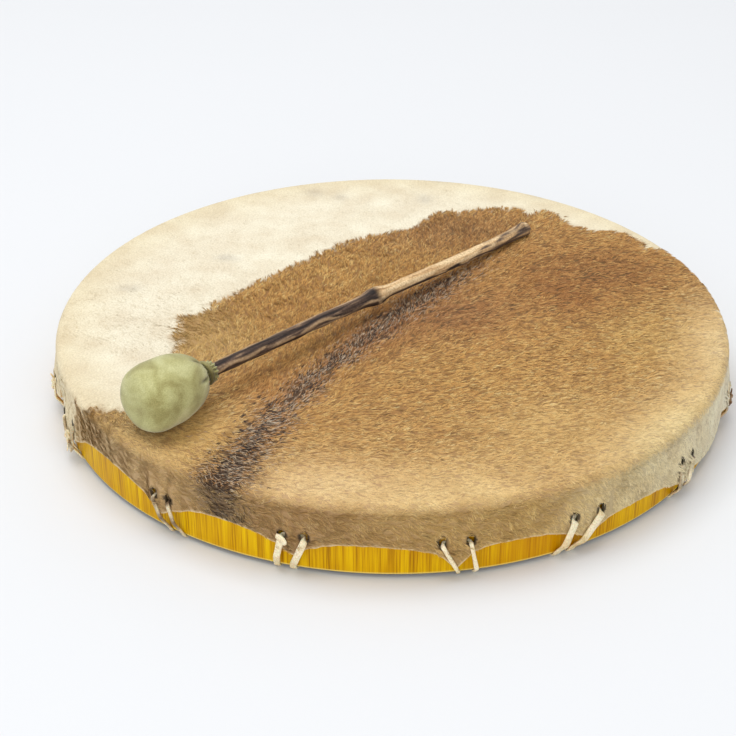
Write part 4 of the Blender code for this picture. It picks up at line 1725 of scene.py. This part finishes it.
        cos, sin = math.cos(math.radians(lacing.angle)), math.sin(math.radians(lacing.angle))
        turned = np.stack((points[..., 0] * cos - points[..., 1] * sin,
                           points[..., 0] * sin + points[..., 1] * cos, points[..., 2]), axis=-1)
        return tube_mesh(name, (turned, False))

    def ring(self) -> None:
        """Make the steel grip ring."""
        section = np.linspace(0.0, math.tau, 20, endpoint=False)
        half = self.ring_thick / 2
        profile = np.stack((self.ring_radius + half * np.cos(section),
                            self.ring_height + half * np.sin(section)), axis=1)
        mesh = tube_mesh("grip_ring_steel", (turned_profile(profile, 96), True))
        add_piece("grip_ring_steel", mesh, SteelRing().make(), ("grip_ring",))


@dataclass
class Beater:
    """The beater: a suede pad gathered over the end of a branch and tied at its neck."""

    body: DrumBody
    inset: float = 0.0337
    angle: float = 225.2
    turn: float = 47.5
    pad_length: float = 0.063
    pad_width: float = 0.0495
    pad_widest: float = -0.007
    end_fullness: float = 3.2
    neck_fullness: float = 2.2
    shoulder: float = 16.0
    neck_length: float = 0.004
    neck_width: float = 0.0136
    ruffle_length: float = 0.0045
    ruffle_width: float = 0.0156
    stick_thick: float = 0.0094
    stick_length: float = 0.4015
    stick_in_pad: float = 0.040
    knot_place: float = 0.2135
    knot_length: float = 0.009
    knot_swell: float = 0.0016
    knob_length: float = 0.016
    knob_swell: float = 0.0014
    lump_turn: float = 2.2
    lump_swell: float = 0.0011
    nub_turn: float = 1.9
    nub_place: float = 0.012
    nub_swell: float = 0.0034
    streak_turns: Pair = (226.0, 168.0)
    rim_turn: float = 58.0
    bow: float = 0.0022
    columns: int = 128
    gathers: int = 13
    pressure: float = 4.0
    frames: int = 20
    cap: float = 0.0008
    slack: float = 0.963
    groove_depth: float = 0.0026
    groove_half: float = 0.0013

    def stick_radius(self, place: Array) -> Array:
        """Return the stick's radius at distances from its end in the pad."""
        knot = self.knot_swell * np.exp(-(((place - self.knot_place) / self.knot_length) ** 2))
        knob = self.knob_swell * np.exp(-(((place - self.stick_length) / self.knob_length) ** 2))
        return self.stick_thick / 2 + np.where(place > self.stick_in_pad, knot + knob, 0.0)

    def placing(self) -> Matrix:
        """Return where the beater's own frame stands on the hide."""
        contact = self.stick_length - 0.8 * self.knob_length
        reach = self.pad_length / 2 - self.stick_in_pad + contact
        end = float(self.stick_radius(np.array((contact,)))[0])
        tilt = math.asin((self.pad_width / 2 - end) / reach)
        spot = self.body.radius - self.inset
        turn = math.radians(self.angle)
        outline = self.pad_outline()
        drop = float(np.max(outline[:, 1] * math.cos(tilt) + outline[:, 0] * math.sin(tilt)))
        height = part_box("beater_pad")[0].z + drop
        place = Vector((spot * math.cos(turn), spot * math.sin(turn), height))
        return Matrix.Translation(place) @ Euler((0.0, tilt, math.radians(self.turn))).to_matrix().to_4x4()

    def build(self) -> None:
        """Make the pad, the tie and the stick, and lay them on the hide."""
        placing = self.placing()
        mesh = self.pad_mesh(placing)
        pad = add_piece("beater_head", mesh, GreenSuede().make(), ("beater_pad",))
        mesh = self.tie_mesh(placing)
        # Painted shade: the tie is the pad's suede painted darker, for the shade at the gathered neck.
        suede = GreenSuede("suede_tie", Tint(112, 102, 62), Tint(150, 142, 94), Tint(176, 170, 120))
        add_piece("beater_binding", mesh, suede.make(), ("beater_tie",))
        mesh = self.stick_mesh(placing)
        add_piece("beater_handle", mesh, BranchBark().make(), ("beater_stick",))

    def pad_outline(self) -> Array:
        """Return the stuffed part's outline as (place, radius) rows, from its blunt end to its neck."""
        rows = []
        for angle in np.linspace(0.6, 90.0, 26):
            rows.append((angle, -self.pad_length / 2 - self.pad_widest, self.end_fullness))
        for angle in np.linspace(90.0, self.shoulder, 26)[1:]:
            rows.append((angle, self.pad_length / 2 - self.pad_widest, self.neck_fullness))
        outline = []
        for angle, length, fullness in rows:
            turn = math.radians(angle)
            place = self.pad_widest + length * math.cos(turn) ** (2 / fullness)
            outline.append((place, self.pad_width / 2 * math.sin(turn) ** (2 / fullness)))
        return np.array(outline)

    def pad_mesh(self, placing: Matrix) -> bpy.types.Mesh:
        """Return the stuffed pad with its gathers, its creases and its ruffled end."""
        half = self.pad_length / 2
        neck = self.neck_width / 2
        mouth = half + self.neck_length
        outline = self.pad_outline()
        rows = [*outline.tolist(), [half, neck * 1.04], [half + 0.0012, neck * 0.98], [mouth, neck]]
        for share in (0.3, 0.65, 1.0):
            rows.append([mouth + self.ruffle_length * share, neck + (self.ruffle_width / 2 - neck) * share])
        rows.append([mouth + self.ruffle_length * 0.95, self.ruffle_width / 2 - 0.0012])
        rows.append([mouth, self.stick_thick / 2 + 0.0004])
        table = np.array(rows)
        turn = np.linspace(0.0, math.tau, self.columns, endpoint=False)
        x = np.repeat(half - (half - table[:, :1]) * self.slack, self.columns, axis=1)
        radius = np.repeat(table[:, 1:2], self.columns, axis=1) * self.slack
        wave = np.cos(turn * self.gathers + 0.9 * np.sin(turn * 3) + 0.5 * np.sin(turn * 5))[None, :]
        gather = np.clip((table[:, 0] - 0.020) / (half - 0.020), 0.0, 1.0)[:, None] ** 1.5
        ruffle = (table[:, 0] > mouth)[:, None]
        radius = radius * (1 + (0.050 + 0.05 * ruffle) * gather * wave)
        spots = np.stack((x, radius * np.cos(turn), radius * np.sin(turn)), axis=-1).reshape(-1, 3)
        lumps = 0.0007 * ripple(spots, 0.034, 61) + 0.00025 * ripple(spots, 0.012, 62)
        radius = radius + lumps.reshape(radius.shape) * (table[:, 1:2] > 0.006)
        points = np.stack((x, radius * np.cos(turn), radius * np.sin(turn)), axis=-1)
        groove = self.grooves(points.reshape(-1, 3)).reshape(x.shape)
        points[..., 1:] *= (1 - self.groove_depth * groove / np.maximum(radius, 0.004))[..., None]
        placed = self.moved(points, placing)
        rest = self.body.top + self.body.touch
        placed[..., 2] = np.maximum(placed[..., 2], rest)
        mesh = tube_mesh("beater_head", (placed, False))
        free = (table[:, 0] < half - 0.001)[:, None] & (x > -half + 0.001)
        mesh = self.filled(mesh, np.flatnonzero(~free.ravel()).tolist(), rest)
        # Painted shade in the dips between the gathers and along the grooves.
        folds = gather * (0.5 - 0.5 * wave) * 0.5
        set_values(mesh, "painted_fold_shade", np.clip(folds + 0.75 * groove, 0.0, 0.85).ravel())
        return mesh

    def filled(self, mesh: bpy.types.Mesh, held: list[int], rest: float) -> bpy.types.Mesh:
        """Let the stuffing press the suede out as cloth, with its neck held.

        Args:
            mesh: The pad as sewn.
            held: The vertices that stay in place.
            rest: The height that the pad rests at.

        Returns:
            The filled pad, each point at most the cap away from where it was sewn.
        """
        scene = bpy.context.scene
        maker = bpy.data.objects.new("pad_maker", mesh)
        scene.collection.objects.link(maker)
        group = maker.vertex_groups.new(name="held")
        group.add(held, 1.0, "REPLACE")
        cloth = maker.modifiers.new("filling", "CLOTH")
        cloth.settings.quality = 6
        cloth.settings.vertex_group_mass = group.name
        cloth.settings.use_pressure = True
        cloth.settings.uniform_pressure_force = self.pressure
        cloth.settings.effector_weights.gravity = 0.0
        for number in range(1, self.frames + 1):
            scene.frame_set(number)
        graph = bpy.context.evaluated_depsgraph_get()
        swollen = bpy.data.meshes.new_from_object(maker.evaluated_get(graph))
        count = len(mesh.vertices)
        before, after = np.empty(count * 3), np.empty(count * 3)
        mesh.vertices.foreach_get("co", before)
        swollen.vertices.foreach_get("co", after)
        scene.frame_set(1)
        bpy.data.objects.remove(maker)
        move = (after - before).reshape(-1, 3)
        far = np.linalg.norm(move, axis=1)
        LOG.info("pad filling: moved %.2f mm at most", far.max() * 1000)
        move *= np.minimum(1.0, self.cap / np.maximum(far, 1e-9))[:, None]
        places = before.reshape(-1, 3) + move
        places[:, 2] = np.maximum(places[:, 2], rest)
        mesh.vertices.foreach_set("co", places.ravel())
        mesh.update()
        return mesh

    def grooves(self, points: Array) -> Array:
        """Return how deep in a groove each place of the pad is, from 0 to 1."""
        lines = (
            ((-0.0200, 0.0150, 0.0185), (-0.0262, 0.0110, 0.0170),
             (-0.0286, 0.0045, 0.0167), (-0.0254, -0.0029, 0.0207)),
            ((0.012, -0.0205, 0.0090), (0.020, -0.0170, 0.0070), (0.028, -0.0110, 0.0045)),
            ((0.015, -0.0075, 0.0205), (0.022, -0.0065, 0.0165), (0.029, -0.0050, 0.0100)),
        )
        depth = np.zeros(len(points))
        for line in lines:
            gap, share = distance_along(points, np.array(line))
            taper = np.sin(math.pi * np.clip(share, 0.08, 0.92))
            depth = np.maximum(depth, np.exp(-((gap / self.groove_half) ** 2)) * taper)
        return depth

    def tie_mesh(self, placing: Matrix) -> bpy.types.Mesh:
        """Return the thong wound twice round the pad's neck."""
        turns = np.linspace(0.0, 4 * math.pi, 100)
        radius = self.neck_width / 2 + 0.0011
        x = self.pad_length / 2 + self.neck_length * (0.25 + 0.5 * turns / turns[-1])
        path = np.stack((x, radius * np.cos(turns), radius * np.sin(turns)), axis=1)
        out = np.stack((np.zeros(100), np.cos(turns), np.sin(turns)), axis=1)
        rings = []
        for angle in np.linspace(0, math.tau, 8, endpoint=False):
            along = np.array((1.0, 0, 0)) * 0.0013 * math.cos(angle)
            rings.append(path + out * 0.0010 * math.sin(angle) + along)
        return tube_mesh("beater_binding", (self.moved(np.stack(rings, axis=1), placing), False))

    def stick_mesh(self, placing: Matrix) -> bpy.types.Mesh:
        """Return the branch with its knot, knob, nub and ridged bark."""
        rows, columns = 340, 40
        place = np.linspace(0.0, self.stick_length, rows)
        straight = self.stick_in_pad + self.neck_length + self.ruffle_length
        out = np.maximum(0.0, place - straight) / (self.stick_length - straight)
        bow = self.bow * np.sin(math.pi * 2 * out) * out
        radius = self.stick_radius(place)
        radius = radius * np.sqrt(np.clip((self.stick_length - place) / 0.004, 0.12, 1.0))
        turn = np.linspace(0.0, math.tau, columns, endpoint=False)
        grid_place = np.repeat(place[:, None], columns, axis=1)
        grid_turn = np.repeat(turn[None, :], rows, axis=0)
        grain = np.stack((grid_place.ravel() * 26.0, np.cos(grid_turn).ravel() * 1.6,
                          np.sin(grid_turn).ravel() * 1.6), axis=1)
        bark = smooth(place, self.knot_place + 0.004, self.knot_place - 0.004)
        tip = smooth(place, self.stick_length - 0.090, self.stick_length - 0.030)
        rough = ripple(grain * np.array((2.0, 1.0, 1.0)), 1.1, 71).reshape(rows, columns)
        knot = np.exp(-(((place - self.knot_place) / self.knot_length) ** 2))[:, None]
        lump = 0.5 + 0.5 * np.cos(grid_turn - self.lump_turn)
        free = (place > self.stick_in_pad + 0.012)[:, None]
        radius = radius[:, None] * (1 + (0.025 + 0.045 * np.maximum(bark, tip)[:, None]) * rough * free)
        radius = radius + self.lump_swell * knot * lump * free + 0.0004 * knot * rough
        along = (grid_place - self.stick_length + self.nub_place) / 0.0034
        nub = np.exp(-(along**2) - (past(grid_turn, self.nub_turn) / 0.5) ** 2)
        radius = radius + self.nub_swell * nub
        points = np.stack((self.pad_length / 2 - self.stick_in_pad + grid_place,
                           bow[:, None] + radius * np.cos(turn), radius * np.sin(turn)), axis=-1)
        mesh = tube_mesh("beater_handle", (self.moved(points, placing), False))
        wander = 0.25 * ripple(grid_place.reshape(-1, 1), 0.05, 72).reshape(rows, columns)
        # Along the bark this line is a pale scrape; along the peeled wood it is a dark strip on the
        # underside, as painted shade.
        peeled_turn, bark_turn = self.streak_turns
        streak_turn = np.radians(peeled_turn - (peeled_turn - bark_turn) * bark)[:, None]
        lower = np.cos(grid_turn - streak_turn + wander)
        narrow = 0.66 + 0.26 * bark[:, None]
        scrape_and_painted_light = smooth(lower - narrow, 0.0, 0.12) * smooth(rough, -0.9 + 0.7 * bark[:, None], 0.1)
        # Painted highlight: a thin pale line along the top of the bark.
        rim = smooth(np.cos(grid_turn - math.radians(self.rim_turn)), 0.86, 0.97) * bark[:, None]
        scrape_and_painted_light = np.maximum(scrape_and_painted_light, 0.7 * rim * smooth(rough, -0.8, 0.2))
        set_values(mesh, "grain", grain)
        set_values(mesh, "peel", np.repeat(1.0 - bark, columns))
        set_values(mesh, "scrape_and_painted_light", scrape_and_painted_light.ravel())
        # The dark end reaches further along the underside, as painted shade.
        patchy = smooth(rough + 2.4 * tip[:, None] + 1.1 * lower, 0.7, 2.0) * (tip[:, None] > 0.0)
        set_values(mesh, "tip", patchy.ravel())
        return mesh

    def moved(self, points: Array, placing: Matrix) -> Array:
        """Return points of the beater's own frame in the object's frame."""
        matrix = np.array(placing)
        return points @ matrix[:3, :3].T + matrix[:3, 3]


@dataclass
class Studio:
    """A plain pale floor, soft light and the camera at the photograph's angle."""

    eye: Triple = (-0.0178, -1.0587, 0.6403)
    target: Triple = (-0.0178, -0.0392, 0.0323)
    lens: float = 78.3
    sensor: float = 36.0
    floor_size: float = 12.0
    sky: float = 0.68
    key: float = 72.0
    key_place: Triple = (-0.5, 0.25, 3.4)
    key_size: float = 2.6
    fill: float = 46.0
    fill_place: Triple = (-0.5, -3.6, 1.3)
    fill_size: float = 3.0
    drum_middle: Triple = (0.0, 0.0, 0.05)

    def build(self) -> None:
        """Set up the floor, the lights and the camera."""
        self.floor()
        self.world()
        self.area("key_light", self.key, self.key_place, self.key_size)
        self.area("fill_light", self.fill, self.fill_place, self.fill_size)
        self.camera()

    def floor(self) -> None:
        """Lay the floor."""
        half = self.floor_size / 2
        mesh = bpy.data.meshes.new("studio_floor")
        corners = [(-half, -half, 0), (half, -half, 0), (half, half, 0), (-half, half, 0)]
        mesh.from_pydata(corners, [], [(0, 1, 2, 3)])
        mesh.materials.append(StudioFloor().make())
        floor = bpy.data.objects.new("studio_floor", mesh)
        bpy.context.scene.collection.objects.link(floor)

    def world(self) -> None:
        """Surround the scene with plain white light."""
        world = bpy.data.worlds.new("studio")
        world.use_nodes = True
        background = world.node_tree.nodes["Background"]
        background.inputs["Color"].default_value = (1.0, 1.0, 1.0, 1.0)
        background.inputs["Strength"].default_value = self.sky
        bpy.context.scene.world = world
        bpy.context.scene.view_settings.view_transform = "Standard"

    def aim(self, thing: bpy.types.Object, place: Triple, target: Triple) -> None:
        """Stand a light or the camera at a place, and turn it towards its target."""
        thing.location = place
        thing.rotation_euler = (Vector(target) - Vector(place)).to_track_quat("-Z", "Y").to_euler()
        bpy.context.scene.collection.objects.link(thing)

    def area(self, name: str, power: float, place: Triple, size: float) -> None:
        """Hang a soft square light that faces the drum."""
        data = bpy.data.lights.new(name, "AREA")
        data.energy = power
        data.size = size
        self.aim(bpy.data.objects.new(name, data), place, self.drum_middle)

    def camera(self) -> None:
        """Stand the camera where the photograph was taken from."""
        data = bpy.data.cameras.new("photo_camera")
        data.lens = self.lens
        data.sensor_width = self.sensor
        data.clip_start = 0.05
        camera = bpy.data.objects.new("photo_camera", data)
        self.aim(camera, self.eye, self.target)
        bpy.context.scene.camera = camera


def main() -> None:
    """Build the studio, the drum and its beater."""
    logging.basicConfig(level=logging.INFO, format="%(name)s %(message)s")
    body = DrumBody()
    shape = HideShape(body)
    Studio().build()
    Hoop(body).build()
    Hide(body, shape).build()
    Lacework(body, shape).build()
    Beater(body).build()


if __name__ == "__main__":
    main()
